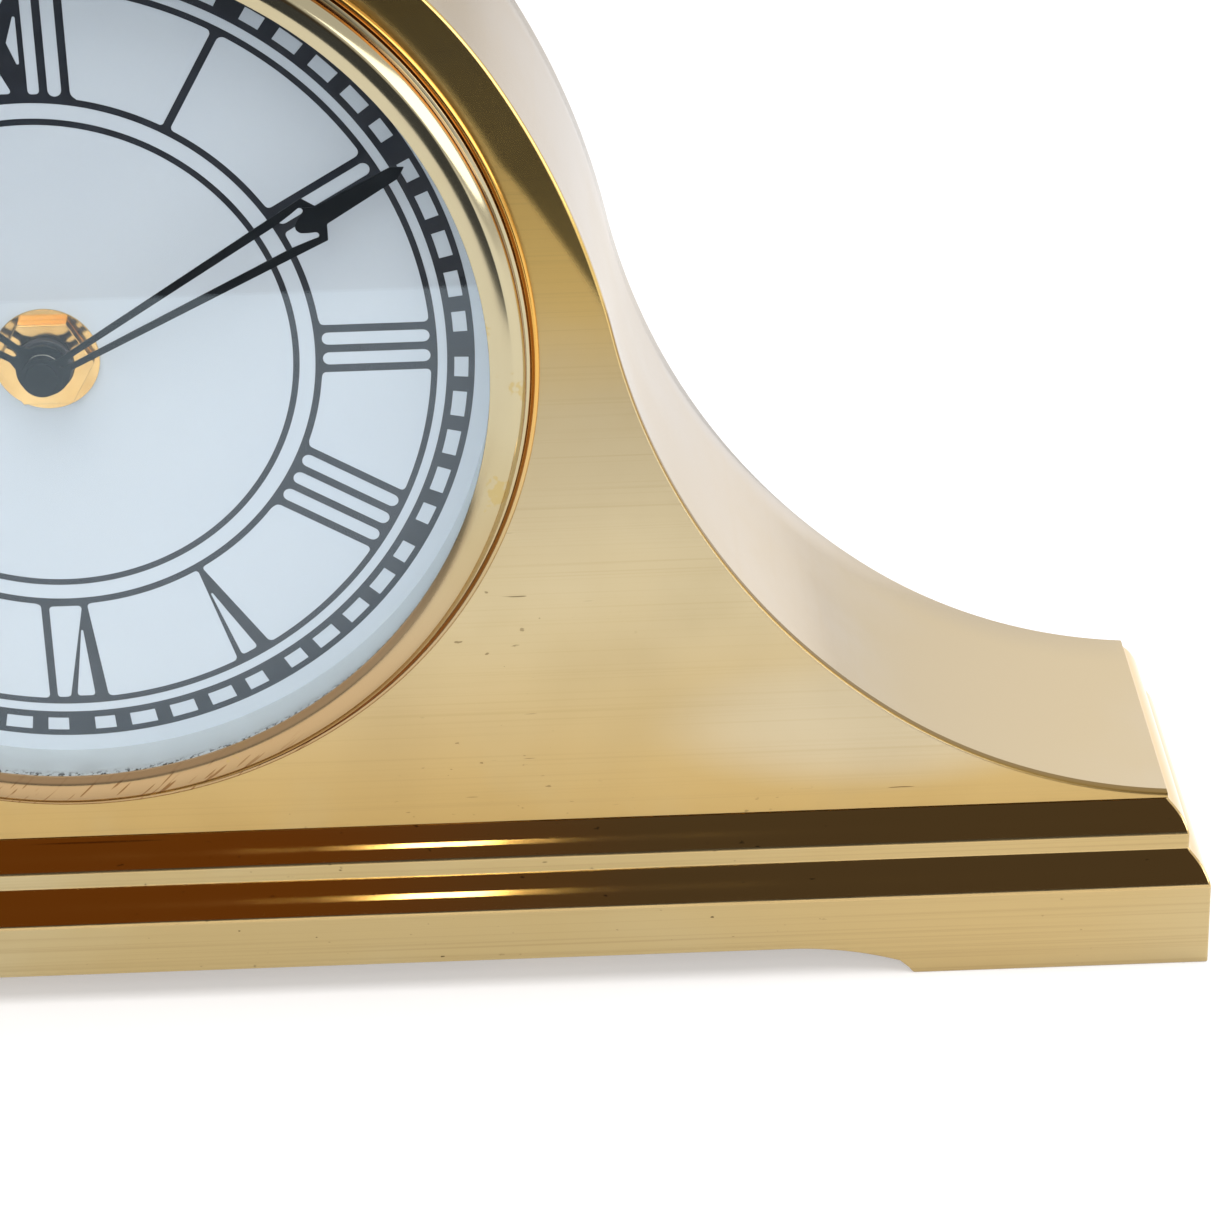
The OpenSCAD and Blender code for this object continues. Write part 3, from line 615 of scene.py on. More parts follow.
case_brass = front_brass()
band_brass = metal("band_brass", (236, 221, 197), (232, 211, 173), 0.17, 0.04, 12.0, waves=0.10,
                   wave_size=16.0, lines=0.0012, line_scale=(500.0, 14.0, 500.0), brushed=0.3,
                   edge_on=(0.66, 0.67, 0.70, 1.0))
plinth_brass = plinth_finish()
back_brass = metal("back_brass", (206, 180, 128), (188, 156, 98), 0.33, 0.045, 18.0, waves=0.04,
                   lines=0.003, brushed=0.7, specks=0.7)
door_brass = metal("door_brass", (212, 186, 134), (196, 162, 102), 0.33, 0.045, 24.0, waves=0.03,
                   lines=0.003, brushed=0.7, specks=0.5)
bright_brass = metal("bright_brass", (228, 194, 130), (212, 172, 102), 0.16, 0.04, 90.0, waves=0.01,
                     wave_size=200.0)
inner_brass = metal("inner_brass", (176, 146, 92), (140, 110, 62), 0.42, 0.06, 30.0, lines=0.004, specks=0.5)
screw_brass = metal("screw_brass", (206, 172, 108), (178, 142, 80), 0.22, 0.04, 300.0)
pin_steel = metal("pin_steel", (196, 196, 192), (168, 168, 164), 0.22, 0.05, 200.0)
sheet_steel = metal("sheet_steel", (190, 191, 190), (160, 162, 162), 0.36, 0.06, 40.0, lines=0.003)
core_steel = metal("core_steel", (150, 152, 156), (120, 122, 126), 0.38, 0.05, 120.0)
contact_plate = metal("contact_plate", (214, 213, 208), (190, 188, 180), 0.22, 0.04, 90.0)
magnet = metal("magnet", (92, 94, 98), (66, 68, 72), 0.40, 0.05, 200.0)
gear_brass = metal("gear_brass", (222, 188, 120), (204, 166, 96), 0.22, 0.04, 120.0, lines=0.002)
rubber = plastic("black_rubber", (0.018, 0.018, 0.018, 1.0), 0.75, 0.02)
black_plastic = plastic("black_plastic", (0.022, 0.022, 0.024, 1.0), 0.42, 0.012, size=1400.0)
ivory_plastic = plastic("ivory_plastic", rgb(232, 228, 214), 0.38, 0.004)
chip_black = plastic("chip_black", (0.012, 0.012, 0.012, 1.0), 0.5, 0.01)
glass_clear = clear_glass()
paint_white = dial_paint()
ink = dial_ink()
hand_black = hand_paint()
silvered = silvered_wall()
rim_brass = bezel_brass()
wrap_film = cell_wrap()
copper_wire = copper_turns()
board_green = board()


# -------------------- case

SHOULDER_C = polar(-(SHOULDER_R - ARCH_R), SHOULDER_START)
SWEEP_C = polar(SHOULDER_R + SWEEP_R, SHOULDER_END, SHOULDER_C)
TAIL_C = polar(SWEEP_R - TAIL_R, SWEEP_END, SWEEP_C)


def half_outline(inset):
    """Right half of the case outline, from the top of the arch to the plinth, in the frame's x and z."""
    fall = (PLINTH_TOP - DIAL_Z - TAIL_C[1]) / (TAIL_R + inset)
    ends = [360 - math.degrees(math.acos((CASE_HW - TAIL_C[0]) / (TAIL_R + inset)))]
    if fall > -1:
        ends.append(180 - math.degrees(math.asin(fall)))
    points = [(0.0, ARCH_R - inset)]
    points += arc((0, 0), ARCH_R - inset, 90, SHOULDER_START, 44)
    points += arc(SHOULDER_C, SHOULDER_R - inset, SHOULDER_START, SHOULDER_END, 24)
    points += arc(SWEEP_C, SWEEP_R + inset, SHOULDER_END + 180, SWEEP_END, 48)
    points += arc(TAIL_C, TAIL_R + inset, SWEEP_END, min(ends), 32)
    points = [(x, DIAL_Z + z) for x, z in points]
    return points + [(points[-1][0], PLINTH_TOP)]


def outline(inset):
    """The whole outline from the left foot of the case over the arch to the right foot."""
    half = half_outline(inset)
    return [(-x, z) for x, z in reversed(half[1:])] + half


# The plate's rim bends back round the arch and shoulder, in a strip that narrows to nothing down the side.
ROLL_WIDTH = 6.0
ROLL_SLOPE = 0.125
ROLL_EASE = 0.45
ROLL_END, ROLL_TAPER = 66, 16
EDGE_R = 0.4
HOLE_R, HOLE_STEPS = BEZEL_R - 3.06, 160


def roll_width(i):
    """Width of the bent strip at a point of the half outline."""
    share = min(1.0, max(0.0, (ROLL_END - i) / ROLL_TAPER))
    return ROLL_WIDTH * share ** 0.8


def front_plate():
    """Front sheet: rounded edge, bent rim, a flat middle with the bezel's opening, and a flat back."""
    middle = len(half_outline(0)) - 1
    count = 2 * middle + 1
    widths = [roll_width(abs(i - middle)) for i in range(count)]
    steps = [0.0, 0.12, 0.33, 0.66, 1.0]
    spread = [0.04, 0.12, 0.24, 0.38, 0.52, 0.66, 0.78, 0.88, 0.95, 1.0, 1.06, 1.14]
    rows, least_span, shade_width = len(steps) + len(spread), 1.5, 1.2
    points, rim = [], []
    for k in range(rows):
        for i, width in enumerate(widths):
            span = max(width, least_span)
            inset = EDGE_R * steps[k] if k < len(steps) else EDGE_R + span * spread[k - len(steps)]
            half = half_outline(inset)
            x, z = half[min(abs(i - middle), len(half) - 1)]
            gone = max(0.0, EDGE_R - inset)
            edge = EDGE_R - math.sqrt(EDGE_R ** 2 - gone ** 2)
            bend = max(0.0, width - inset)
            lean = ROLL_SLOPE * (bend - ROLL_EASE * (1 - math.exp(-bend / ROLL_EASE)))
            points.append((x if i > middle else -x, FRONT_Y + edge + lean, z))
            rim.append(smooth_step(bend / shade_width))
    faces = []
    for a in range(0, (rows - 1) * count, count):
        faces += [(a + i, a + i + 1, a + count + i + 1, a + count + i) for i in range(count - 1)]
    hole = [(x, DIAL_Z + y) for x, y in circle(HOLE_R, HOLE_STEPS)]

    def cap(start, loop):
        """Faces from a loop to the bezel's opening, whose points follow the loop's in the list of points."""
        rings = [[Vector((x, z, 0.0)) for x, z in ring] for ring in (loop, hole)]
        return [tuple(start + j for j in face) for face in tessellate_polygon(rings)]

    inner, hole_at = (rows - 1) * count, rows * count
    faces += cap(inner, [(x, z) for x, _, z in points[inner:]])
    points += [(x, FRONT_Y, z) for x, z in hole]
    back, hole_back = len(points), len(points) + count
    points += [(x, FRONT_Y + PLATE_T, z) for x, z in outline(0) + hole]
    faces += [face[::-1] for face in cap(back, outline(0))]
    rim += [0.0] * (len(points) - len(rim))
    faces += [(i, i + 1, back + i + 1, back + i) for i in range(count - 1)]
    faces += [(hole_at + i, hole_at + (i + 1) % HOLE_STEPS, hole_back + (i + 1) % HOLE_STEPS, hole_back + i)
              for i in range(HOLE_STEPS)]
    down = range(rows)
    faces.append(tuple([back + count - 1, back] + [k * count for k in down]
                       + [k * count + count - 1 for k in reversed(down)]))
    mesh = make_mesh("front_plate_shell", points, faces, 24)
    shade = mesh.attributes.new("rim", "FLOAT", "POINT")
    lookup = {tuple(round(c, 2) for c in p): r for p, r in zip(points, rim)}
    shade.data.foreach_set("value", [lookup.get(tuple(round(c / MM, 2) for c in v.co), 0.0)
                                     for v in mesh.vertices])
    return link(mesh, case_brass, ["front_plate"])


def top_band():
    """The bent strip over the case, with a rounded back edge."""
    y0, y1, r = FRONT_Y + PLATE_T, BACK_Y, 0.4
    outer, inner = outline(0), outline(BAND_T)
    section = [(0.0, y0), (0.0, y0 + 6), (0.0, y0 + 16), (0.0, y0 + 28), (0.0, y0 + 40)]
    section += [polar(r, 180 - a, (r, y1 - r)) for a in (0, 30, 60, 90)]
    section += [(1.0, y1), (1.0, y0)]
    points, count = [], len(section)
    for (xo, zo), (xi, zi) in zip(outer, inner):
        for inward, y in section:
            share = inward / BAND_T if inward < 1.0 else 1.0
            points.append((xo + (xi - xo) * share, y, zo + (zi - zo) * share))
    last = (len(outer) - 1) * count
    faces = walls(count, len(outer), closed=False)
    faces += [tuple(range(count)), tuple(last + j for j in reversed(range(count)))]
    mesh = make_mesh("top_band_strip", points, faces, 40)
    return link(mesh, band_brass, ["top_band"])


def ogee(x, z, height):
    """A long round arc from the lower outer end, then a short hollow arc up to the inner upper end."""
    low, high, share = 12.0, 33.0, 2.0
    sines = share * math.sin(math.radians(low)) + math.sin(math.radians(high))
    cosines = share * math.cos(math.radians(low)) + math.cos(math.radians(high))
    lean = (height * cosines + STEP_OUT * sines) / (share + 1) / math.hypot(height, STEP_OUT)
    turn = math.degrees(math.atan2(STEP_OUT, height) + math.acos(lean))
    r = height / ((share + 1) * math.sin(math.radians(turn)) - sines)
    lower = polar(-share * r, low, (x, z))
    upper = polar(r, high, (x - STEP_OUT, z + height))
    return arc(lower, share * r, low, turn, 14) + arc(upper, r, 180 + turn, 180 + high, 8)


def apron_height(x):
    """Height of the plinth's lower edge at a place along its front: a flat gap, an arc down and the foot."""
    radius = (APRON_RUN ** 2 + APRON_DROP ** 2) / 2 / APRON_DROP
    past = abs(x) - APRON_FLAT
    if past <= 0:
        return APRON_RISE
    if past <= APRON_RUN:
        return APRON_RISE - radius + math.sqrt(radius ** 2 - past ** 2)
    low, foot = APRON_RISE - APRON_DROP, FOOT_X - FOOT_EDGE
    if abs(x) <= foot:
        return low + (FOOT_LIFT - low) * (past - APRON_RUN) / (foot - APRON_FLAT - APRON_RUN)
    return max(0.0, FOOT_LIFT * (FOOT_X - abs(x)) / FOOT_EDGE)


def plinth():
    """Pressed plinth: a moulded section round the front and ends, with a flat back and an apron gap."""
    out, skin, inner, ceiling = 2 * STEP_OUT, 1.8, -1.5, 11.5
    edge = [(out, 0.0)] + [(out, FACE_TOP * (0.35 + 0.65 * i / 6)) for i in range(7)]
    face_end = len(edge)
    edge += ogee(out, FACE_TOP, STRIP_LOW - FACE_TOP)
    edge += [(STEP_OUT, STRIP_LOW + 0.5 * (STRIP_TOP - STRIP_LOW)), (STEP_OUT, STRIP_TOP)]
    edge += ogee(STEP_OUT, STRIP_TOP, PLINTH_TOP - STRIP_TOP)
    skin_start = len(edge)
    edge += [(inner, PLINTH_TOP), (inner, ceiling), (out - skin, ceiling), (out - skin, 0.0)]
    count = len(edge)
    stations = [APRON_FLAT * i / 10 for i in range(11)]
    stations += [APRON_FLAT + APRON_RUN * i / 10 for i in range(1, 11)]
    stations += [FOOT_X + past for past in (-1.4, -FOOT_EDGE, -FOOT_EDGE / 2, 0, FOOT_EDGE, 8, 20)]
    stations = [-x for x in reversed(stations[1:])] + stations
    points = []

    def column(place, rise=0.0):
        """The section at one place round the plinth, with its lower edge raised."""
        for j, (p, z) in enumerate(edge):
            lift = max(z, rise + 0.4) if 0 < j < face_end else (rise if z == 0 else z)
            points.append((*place(p, j >= skin_start), lift))

    def end_column(side, share):
        """A column at a share of the way from the front to the back of one end."""
        column(lambda p, hidden: (side * (CASE_HW + p), (FRONT_Y - p) * (1 - share) + BACK_Y * share))

    def back_column(x, side=0, rise=0.0):
        column(lambda p, hidden: (x + side * p, BACK_Y - 1.5 if hidden else BACK_Y), rise)

    end_column(-1, 0)
    for x in stations:
        column(lambda p, hidden, x=x: (x, FRONT_Y - p), apron_height(x))
    for share in (0, 0.25, 0.5, 0.75):
        end_column(1, share)
    back_column(CASE_HW, 1)
    for x in reversed(stations):
        back_column(x, 0, apron_height(x))
    back_column(-CASE_HW, -1)
    for share in (0.75, 0.5, 0.25):
        end_column(-1, share)
    mesh = make_mesh("plinth_moulding", points, walls(count, len(points) // count), 9)
    return add_bevel(link(mesh, plinth_brass, ["plinth"]), 0.35, 3, 50)


# -------------------- bezel, glass and dial

def bezel():
    """Lip over the glass, then a crest, a rounding and a slope in tangent arcs, then a step and a bead."""
    lip, skirt = 62.1, BEZEL_R - 3.66
    seat = skirt - 1.2
    crest_r, round_r, slope_r = 5.87, 2.04, 3.2
    away = polar(crest_r, 114)
    crest = (lip - away[0], LIP_H - 0.25 - away[1])
    rounding = polar(crest_r - round_r, 84, crest)
    slope = polar(round_r - slope_r, 50, rounding)
    section = [(seat, LIP_H - 0.5), (lip, LIP_H - 0.5), (lip, LIP_H - 0.33), (lip + 0.04, LIP_H - 0.25)]
    section += arc(crest, crest_r, 113, 84, 10) + arc(rounding, round_r, 84, 50, 12)
    section += arc(slope, slope_r, 50, 25, 8)
    step = [(1.9, 7.1), (1.86, 6.2), (1.78, 6.03), (1.6, 5.98), (1.38, 5.9), (1.28, 5.75), (1.18, 5.3),
            (1.08, 5.2)]
    section += [(BEZEL_R - inward, z) for inward, z in step]
    section += arc((BEZEL_R - 0.52, 5.08), 0.52, 150, 0, 12)
    section += [(BEZEL_R, 4.22), (skirt, 4.22), (skirt, -0.8), (seat, -0.8)]
    return link(revolve("bezel_ring", section, 384, 34), rim_brass, ["bezel"])


def glass():
    mesh = slab("clock_glass", [circle(glass_high.x, 192)], DIAL_Y - glass_high.y, DIAL_Y - glass_low.y)
    piece = link(mesh, glass_clear, ["glass"])
    piece.visible_shadow = False
    return piece


def wall_ring():
    r1, r0 = ring_high.x, BEZEL_R - 6.56
    top = DIAL_Y - ring_low.y
    section = [(r0, 0.02), (r0, 1.5), (r0, 3.5), (r0, 5.5), (r0, top - 0.5), (r0 + 0.05, top - 0.2),
               (r0 + 0.2, top), (r1, top), (r1, 0.02)]
    return link(revolve("dial_wall", section), silvered, ["wall_ring"])


def dial():
    mesh = slab("dial_plate", [circle(DIAL_R, 192), circle(4.1, 64)], -0.8, 0.0)
    return link(mesh, paint_white, ["dial"])


# Dial print: depths of the ink, the numerals' inner ring and outer ring, and the width, pitch and fillets
# of their strokes
INK_LOW, INK_HIGH = 0.0, 0.035
R = TRACK_R
B_IN, B_OUT, C_IN, C_OUT = 0.627 * R, 0.643 * R, 0.898 * R, 0.913 * R
STROKE = 0.019 * R
PITCH = 0.050 * R
FILLET = 0.020 * R


def ring_meet(side, radius):
    """Where a numeral's side, given by its two ends, crosses a radius, as (x, y)."""
    (x0, y0), (x1, y1) = side
    low, high = 0.0, 1.5
    for _ in range(40):
        t = (low + high) / 2
        if math.hypot(x0 + (x1 - x0) * t, y0 + (y1 - y0) * t) < radius:
            low = t
        else:
            high = t
    return (x0 + (x1 - x0) * low, y0 + (y1 - y0) * low)


def stadium(offset):
    """Round-ended slot between two strokes, at an offset from the numeral's middle."""
    half = (PITCH - STROKE) / 2
    low = math.sqrt(B_OUT ** 2 - offset ** 2) + half + 0.1
    high = math.sqrt(C_IN ** 2 - offset ** 2) - half - 0.1
    return arc((offset, high), half, 0, 180, 10) + [(offset - half, low)] + \
        arc((offset, low), half, 180, 360, 10) + [(offset + half, high)]


# Strokes of the V and the X, and their half widths
THICK, THIN = 0.032 * R, 0.014 * R
V_TOP = 0.031 * R
X_HALF = 0.052 * R


def upright(x):
    """A stroke's side from the inner to the outer ring."""
    return (x, B_OUT), (x, C_IN)


def glyph_i(at):
    return upright(at - STROKE / 2), upright(at + STROKE / 2), []


def glyph_v(at):
    """V with its point at the inner ring: a thick left stroke, a thin right stroke and a window between."""
    tip = at - 0.008 * R
    left, right = at - V_TOP, at + V_TOP + 0.008 * R
    window = [(tip + THICK * 0.34, B_OUT + 0.050 * R), (right - THIN * 0.65, C_IN - 0.006 * R),
              (left + THICK * 0.52, C_IN - 0.006 * R)]
    return (((tip - 0.006 * R, B_OUT), (left - THICK * 0.5, C_IN)),
            ((tip + 0.006 * R, B_OUT), (right + THIN * 0.5, C_IN)), [rounded(window, [0.15, 0.5, 0.5])])


def glyph_x(at):
    """X with a thick stroke from upper left to lower right, a thin one across it and four windows."""
    middle = (B_OUT + C_IN) / 2
    reach = (C_IN - B_OUT) / 2
    h = X_HALF
    sides_thick, sides_thin = THICK * 0.5, THIN * 0.55
    outer = [(at - h + sides_thick * 1.3, C_IN - 0.4), (at + h - sides_thin * 1.3, C_IN - 0.4),
             (at + 0.1, middle + 0.42 * reach)]
    inner = [(at - h + sides_thin * 1.3, B_OUT + 0.4), (at - 0.1, middle - 0.42 * reach),
             (at + h - sides_thick * 1.3, B_OUT + 0.4)]
    return (upright(at - h - THICK * 0.45), upright(at + h + THICK * 0.45),
            [rounded(outer, [0.4, 0.4, 0.15]), rounded(inner, [0.4, 0.15, 0.4]),
             rounded([(at - h - 0.1, middle - 0.62 * reach), (at - 0.36 * h - THICK * 0.3, middle),
                      (at - h - 0.1, middle + 0.52 * reach)], 0.2),
             rounded([(at + h + 0.1, middle - 0.52 * reach), (at + h + 0.1, middle + 0.62 * reach),
                      (at + 0.36 * h + THICK * 0.3, middle)], 0.2)])


WIDTHS = {"I": 0.0, "V": 2 * V_TOP + 0.012 * R, "X": 2 * X_HALF}
GLYPHS = {"I": glyph_i, "V": glyph_v, "X": glyph_x}
NUMERALS = ["XII", "I", "II", "III", "IIII", "V", "VI", "VII", "VIII", "IX", "X", "XI"]


def numeral(text):
    """(left side, right side, windows) of a numeral drawn upright with its foot on the inner ring."""
    places, at = [], 0.0
    for i, letter in enumerate(text):
        if i:
            at += PITCH if letter + text[i - 1] == "II" else 0.031 * R + STROKE
            at += WIDTHS[text[i - 1]] / 2 + WIDTHS[letter] / 2
        places.append(at)
    middle = (places[0] - WIDTHS[text[0]] / 2 + places[-1] + WIDTHS[text[-1]] / 2) / 2
    glyphs = [GLYPHS[letter](x - middle) for letter, x in zip(text, places)]
    windows = [w for g in glyphs for w in g[2]]
    for (left, right), (one, two) in zip(zip(text, text[1:]), zip(glyphs, glyphs[1:])):
        if left + right == "II":
            windows.append(stadium((one[1][0][0] + two[0][0][0]) / 2))
        else:
            quad = [(x, y + 0.25) for x, y in (one[1][0], two[0][0])]
            quad += [(x, y - 0.25) for x, y in (two[0][1], one[1][1])]
            windows.append(rounded(quad, 0.55))
    return glyphs[0][0], glyphs[-1][1], windows


def bay(right_side, left_side):
    """Rounded window between one numeral's right side and the next one's left side."""
    a0, a1 = ring_meet(right_side, B_OUT), ring_meet(right_side, C_IN)
    b0, b1 = ring_meet(left_side, B_OUT), ring_meet(left_side, C_IN)

    def along(p, q, radius, steps=14):
        start, end = math.degrees(math.atan2(p[1], p[0])), math.degrees(math.atan2(q[1], q[0]))
        return [polar(radius, start + (end - start) * i / steps) for i in range(1, steps)]

    corners = [a0, a1] + along(a1, b1, C_IN) + [b1, b0] + along(b0, a0, B_OUT)
    radii = [0.0] * len(corners)
    for mark in (a0, a1, b1, b0):
        radii[corners.index(mark)] = FILLET
    return rounded(corners, radii, 5)


def dial_print():
    """Printed rings, numerals and minute track: dark ink with the pale dial showing through its windows."""
    sides, windows = [], []
    for hour, text in enumerate(NUMERALS):
        left, right, inside = numeral(text)
        lean = -30.0 * hour - (1.2 if text == "V" else 0.0)
        sides.append((turned(left, lean), turned(right, lean)))
        windows += [turned(w, lean) for w in inside]
    for hour in range(12):
        windows.append(bay(sides[hour][1], sides[(hour + 1) % 12][0]))
    chapter = slab("dial_numerals", [circle(C_OUT, 240), circle(B_IN, 200)] + windows, INK_LOW, INK_HIGH)
    link(chapter, ink)
    cells = []
    for minute in range(60):
        halves = [1.9 if (minute + k) % 5 == 0 else 1.125 for k in (0, 1)]
        start, end = 6.0 * minute + halves[0], 6.0 * (minute + 1) - halves[1]
        low, high = 0.952 * R, 0.985 * R
        cell = [polar(high, 90 - start - (end - start) * i / 3) for i in range(4)]
        cells.append(cell + [polar(low, 90 - end + (end - start) * i / 3) for i in range(4)])
    track = slab("dial_track", [circle(R, 240), circle(0.935 * R, 240)] + cells, INK_LOW, INK_HIGH)
    link(track, ink)
    ring = slab("dial_inner_line", [circle(0.590 * R, 200), circle(0.575 * R, 200)], INK_LOW, INK_HIGH)
    link(ring, ink)


# -------------------- hands

def both_halves(points):
    """A closed outline from its upper half, which runs from left to right."""
    return points + [(x, -y) for x, y in reversed(points) if abs(y) > 1e-9]


def hand_shape(length, spread, bar, boss):
    """Outline and opening of a pierced hand along +x: two legs, a shoulder, a knob and a bar with a point."""
    end = 0.757 * length
    start = 1.2 * boss
    outer = [polar(boss, 180 - a) for a in range(0, 151, 10)]
    outer += [(start, spread * (0.27 + 0.73 * start / end)), (end, spread), (1.0225 * end, 1.15 * bar),
              (1.0265 * end, bar), (0.974 * length, 0.65 * bar), (length, 0.0)]
    pocket = (0.9765 * end, 0.586 * spread)
    opening = [(1.06 * boss, 0.0), (start, spread * (0.04 + 0.577 * start / end)),
               (0.8876 * end, 0.552 * spread), (0.945 * end, 0.645 * spread)]
    opening += arc(pocket, 0.13 * spread, 100, -75, 9)
    opening += [(0.960 * end, 0.348 * spread), (0.951 * end, 0.285 * spread), (0.943 * end, 0.225 * spread),
                (0.937 * end, 0.13 * spread), (0.934 * end, 0.0)]
    return both_halves(outer), both_halves(opening)


def hand(name, node, shape, angle, top, bore, collar, collar_low):
    """A pierced plate with softened edges, and the collar that carries it."""
    outer, opening = shape
    loops = [turned(outer, angle), turned(opening, angle), circle(bore, 48)]
    plate = slab(name, loops, top - 0.4, top)
    body = frame["nodes"][node]["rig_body"]
    add_bevel(link(plate, hand_black, [node], body), 0.07, 2, 35)
    section = [(bore, collar_low), (bore, top - 0.3), (collar, top - 0.3), (collar, collar_low)]
    tube = revolve(name + "_collar", section, 64)
    add_bevel(link(tube, hand_black, body=body), 0.08)


# -------------------- cell

def battery():
    """AA cell along +x: steel ends with a crimped rim and button, and a printed film over both edges."""
    r = (cell_high.z - cell_low.z) / 2
    centre_y, centre_z = (cell_low.y + cell_high.y) / 2, (cell_low.z + cell_high.z) / 2
    start, end = cell_low.x, cell_high.x

    def along_x(a, b, x):
        return (x, centre_y + a, centre_z + b)

    film = [(r - 0.9, start + 0.05), (r - 0.25, start), (r, start + 0.3), (r, end - 1.6),
            (r - 0.2, end - 1.3), (r - 1.3, end - 1.25), (r - 1.3, end - 1.5), (r - 0.35, end - 1.8),
            (r - 0.35, start + 0.5), (r - 0.9, start + 0.3)]
    can = [(0.01, start + 0.35), (2.2, start + 0.35), (2.6, start + 0.1), (r - 0.8, start + 0.1),
           (r - 0.4, start + 0.5), (r - 0.4, end - 1.8), (r - 1.0, end - 1.45), (3.2, end - 1.4),
           (2.85, end - 1.2), (2.7, end - 0.3), (2.4, end), (0.01, end)]
    link(revolve("cell_film", film, 96, place=along_x), wrap_film, ["battery"], "cell")
    link(revolve("cell_can", can, 96, place=along_x), contact_plate, body="cell")


# -------------------- build the pieces

front_plate()
top_band()
plinth()
bezel()
glass()
wall_ring()
dial()
dial_print()
hand("minute_hand_plate", "minute_hand", hand_shape(0.9885 * R, 0.0589 * R, 0.0245 * R, 2.9), MINUTE_AT,
     MINUTE_TOP, 1.6, 2.6, 4.95)
hand("hour_hand_plate", "hour_hand", hand_shape(0.65 * R, 0.060 * R, 0.030 * R, 3.8), HOUR_AT,
     HOUR_TOP, 2.5, 3.5, 3.3)
battery()

SOFTENED = [
    ("back_panel", "back_panel_sheet", 0.3, back_brass, "case_brass"),
    ("door_disc", "door_sheet", 0.3, door_brass, "case_brass"),
    ("hinge_leaf", "hinge_leaf_plate", 0.18, bright_brass, "bright_brass"),
    ("latch_knob", "latch_grip", 0.2, bright_brass, "bright_brass"),
    ("back_screws", "back_panel_screws", 0.14, screw_brass, "screw_brass"),
    ("hinge_screws", "hinge_leaf_screws", 0.1, screw_brass, "screw_brass"),
    ("hinge_pin", "hinge_pin_rod", 0.1, pin_steel, "pin_steel"),
    ("bottom_panel", "bottom_sheet", 0.2, inner_brass, "inner_brass"),
    ("back_rail", "back_rail_strip", 0.2, inner_brass, "inner_brass"),
    ("dial_nut", "dial_nut_hex", 0.15, bright_brass, "bright_brass"),
    ("hand_nut", "hand_nut_cap", 0.15, hand_black, "hand_black"),
    ("dial_washer", "dial_washer_ring", 0.08, bright_brass, "bright_brass"),
    ("movement_front", "movement_front_shell", 0.3, black_plastic, "black_plastic"),
    ("movement_back", "movement_back_shell", 0.3, black_plastic, "black_plastic"),
    ("setting_knob", "setting_knob_wheel", 0.1, ivory_plastic, "ivory_plastic"),
    ("contact_plus", "contact_plus_plate", 0.08, contact_plate, "contact_plate"),
    ("clamps", "clamp_strips", 0.15, sheet_steel, "sheet_steel"),
    ("clamp_screws", "clamp_screw_set", 0.1, sheet_steel, "sheet_steel"),
]
for node_name, piece_name, edge_width, finish, slot_name in SOFTENED:
    softened(node_name, piece_name, edge_width, finish)

KEPT = {
    "back_lugs": inner_brass, "retainer_ring": sheet_steel, "rubber_washer": rubber,
    "stator": core_steel, "coil_bobbin": ivory_plastic, "coil_winding": copper_wire,
    "circuit_board": board_green, "chip": chip_black, "crystal": contact_plate,
    "contact_minus": contact_plate, "minute_arbor": bright_brass,
    "minute_wheel": ivory_plastic, "hour_wheel": ivory_plastic, "centre_wheel": gear_brass,
    "third_wheel": ivory_plastic, "seconds_wheel": ivory_plastic, "intermediate_wheel": ivory_plastic,
    "rotor": magnet,
}
for node_name, finish in KEPT.items():
    kept = frame["nodes"][node_name]
    kept.data.materials.clear()
    kept.data.materials.append(finish)


# -------------------- stage, light and camera

def stage_plane(name, corners, material):
    mesh = bpy.data.meshes.new(name)
    mesh.from_pydata(corners, [], [(0, 1, 2, 3)])
    mesh.materials.append(material)
    plane = add_object(name, mesh)
    return plane


def floor_paint():
    g = look("pale_floor")
    g.tone = g.mix(g.drift(3.0), (0.58, 0.58, 0.58, 1.0), (0.62, 0.62, 0.62, 1.0))
    g.set(Base_Color=g.tone, Roughness=0.7, Emission_Color=(1.0, 1.0, 1.0, 1.0), Emission_Strength=0.42)
    return g.owner


def dark_cloth():
    g = look("dark_cloth")
    g.tone = g.mix(g.noise(40.0), (0.018, 0.022, 0.030, 1.0), (0.040, 0.046, 0.058, 1.0))
    g.set(Base_Color=g.tone, Roughness=0.9)
    return g.owner


# Where the dark strip starts, in metres, and the colours of the room that polished surfaces mirror
FLOOR_EDGE = -0.303
ROOM_DARK = (0.095, 0.074, 0.053, 1.0)
ROOM_WARM = (0.17, 0.062, 0.012, 1.0)
ROOM_BRIGHT = (0.96, 0.96, 0.96, 1.0)


def stage():
    """A pale floor, and a dark strip beyond its front edge that only polished surfaces see."""
    reach = 30.0
    stage_plane("floor", [(-reach, -reach, 0), (reach, -reach, 0), (reach, reach, 0), (-reach, reach, 0)],
                floor_paint())
    end, lean = 0.19, 0.5
    far_end = end + lean * (reach + FLOOR_EDGE)
    strip = [(-reach, -reach), (far_end, -reach), (end, FLOOR_EDGE), (-reach, FLOOR_EDGE)]
    dark = stage_plane("dark_strip", [(x, y, 2e-4) for x, y in strip], dark_cloth())
    dark.visible_camera = False
    dark.visible_diffuse = False
    dark.visible_shadow = False


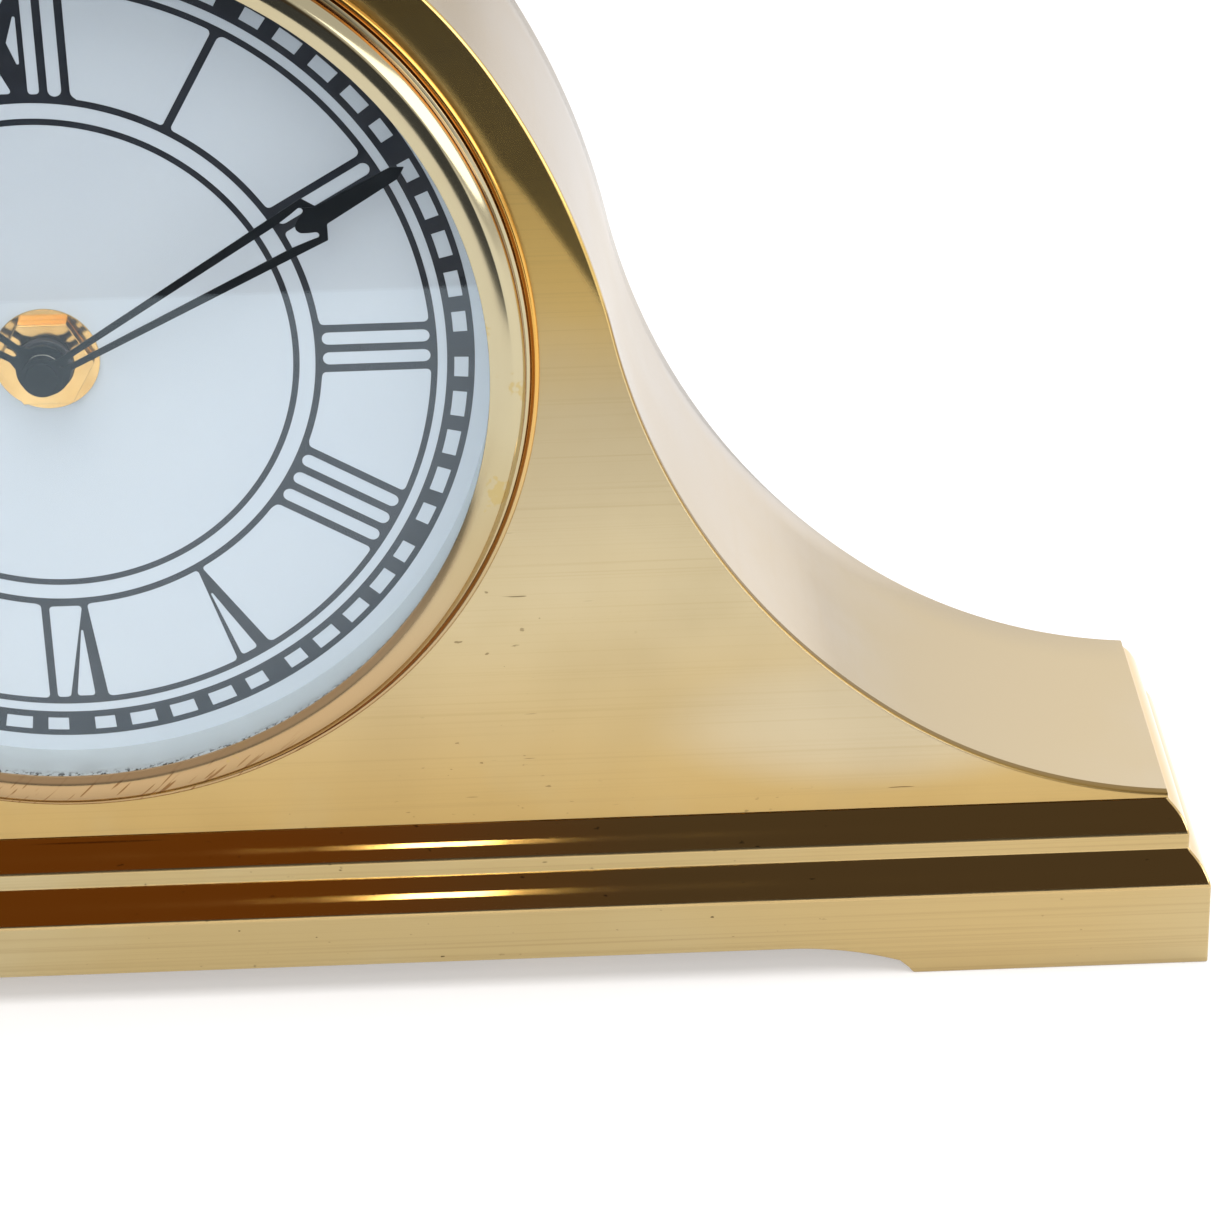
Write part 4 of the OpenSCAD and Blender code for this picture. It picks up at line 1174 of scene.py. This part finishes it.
def soft_light(name, place, target, size, watts, colour, mirrored):
    """A rectangular lamp that lights the matte surfaces, or one that only shows in the polished ones."""
    data = bpy.data.lights.new(name, "AREA")
    data.shape = "RECTANGLE"
    data.size, data.size_y = size
    data.energy = watts
    data.color = colour
    lamp = add_object(name, data)
    lamp.location = place
    aim = Vector(target) - Vector(place)
    lamp.rotation_euler = aim.to_track_quat("-Z", "Y").to_euler()
    lamp.visible_glossy = mirrored
    lamp.visible_diffuse = not mirrored


def world():
    """White surroundings behind the clock and at its sides, and a dim room in front of it and above."""
    made = bpy.data.worlds.new("studio")
    bpy.context.scene.world = made
    g = Graph(made, "Background", "Generated")
    right = g.ramp(g.axis("X"), 0.28, 0.44, 0.0, 0.92)
    left = g.ramp(g.axis("X"), -0.45, -0.80, 0.0, 0.6)
    bright = g.math("MAXIMUM", g.ramp(g.axis("Y"), 0.0, 0.45), g.math("MAXIMUM", right, left))
    room = g.mix(g.ramp(g.axis("X"), 0.03, -0.09), ROOM_DARK, ROOM_WARM)
    g.set(Color=g.mix(bright, room, ROOM_BRIGHT))


def camera():
    data = bpy.data.cameras.new("camera")
    data.lens = 117.74
    data.sensor_width = 36.0
    data.clip_start, data.clip_end = 0.02, 100.0
    cam = add_object("camera", data)
    cam.location = (0.07178, -0.53259, 0.31714)
    cam.rotation_euler = [math.radians(a) for a in (63.262, 1.555, -1.414)]
    bpy.context.scene.camera = cam


stage()
world()
soft_light("overhead", (0.1, -0.15, 1.4), (0.05, -0.15, 0.0), (1.6, 1.2), 24.5, (1.0, 1.0, 1.0), False)
soft_light("front_fill", (-0.3, -1.5, 1.0), (0.0, 0.0, 0.1), (1.2, 0.9), 8.0, (0.90, 0.96, 1.0), False)
soft_light("right_panel", (1.18, -0.44, 0.48), (0.05, 0.0, 0.12), (1.7, 0.62), 8.6, (1.0, 1.0, 1.0), True)
soft_light("warm_lamp", (-0.015, -1.65, 1.10), (0.03, 0.0, 0.02), (0.06, 0.36), 0.8, (1.0, 0.82, 0.45), True)
camera()
bpy.context.scene.view_settings.view_transform = "Standard"
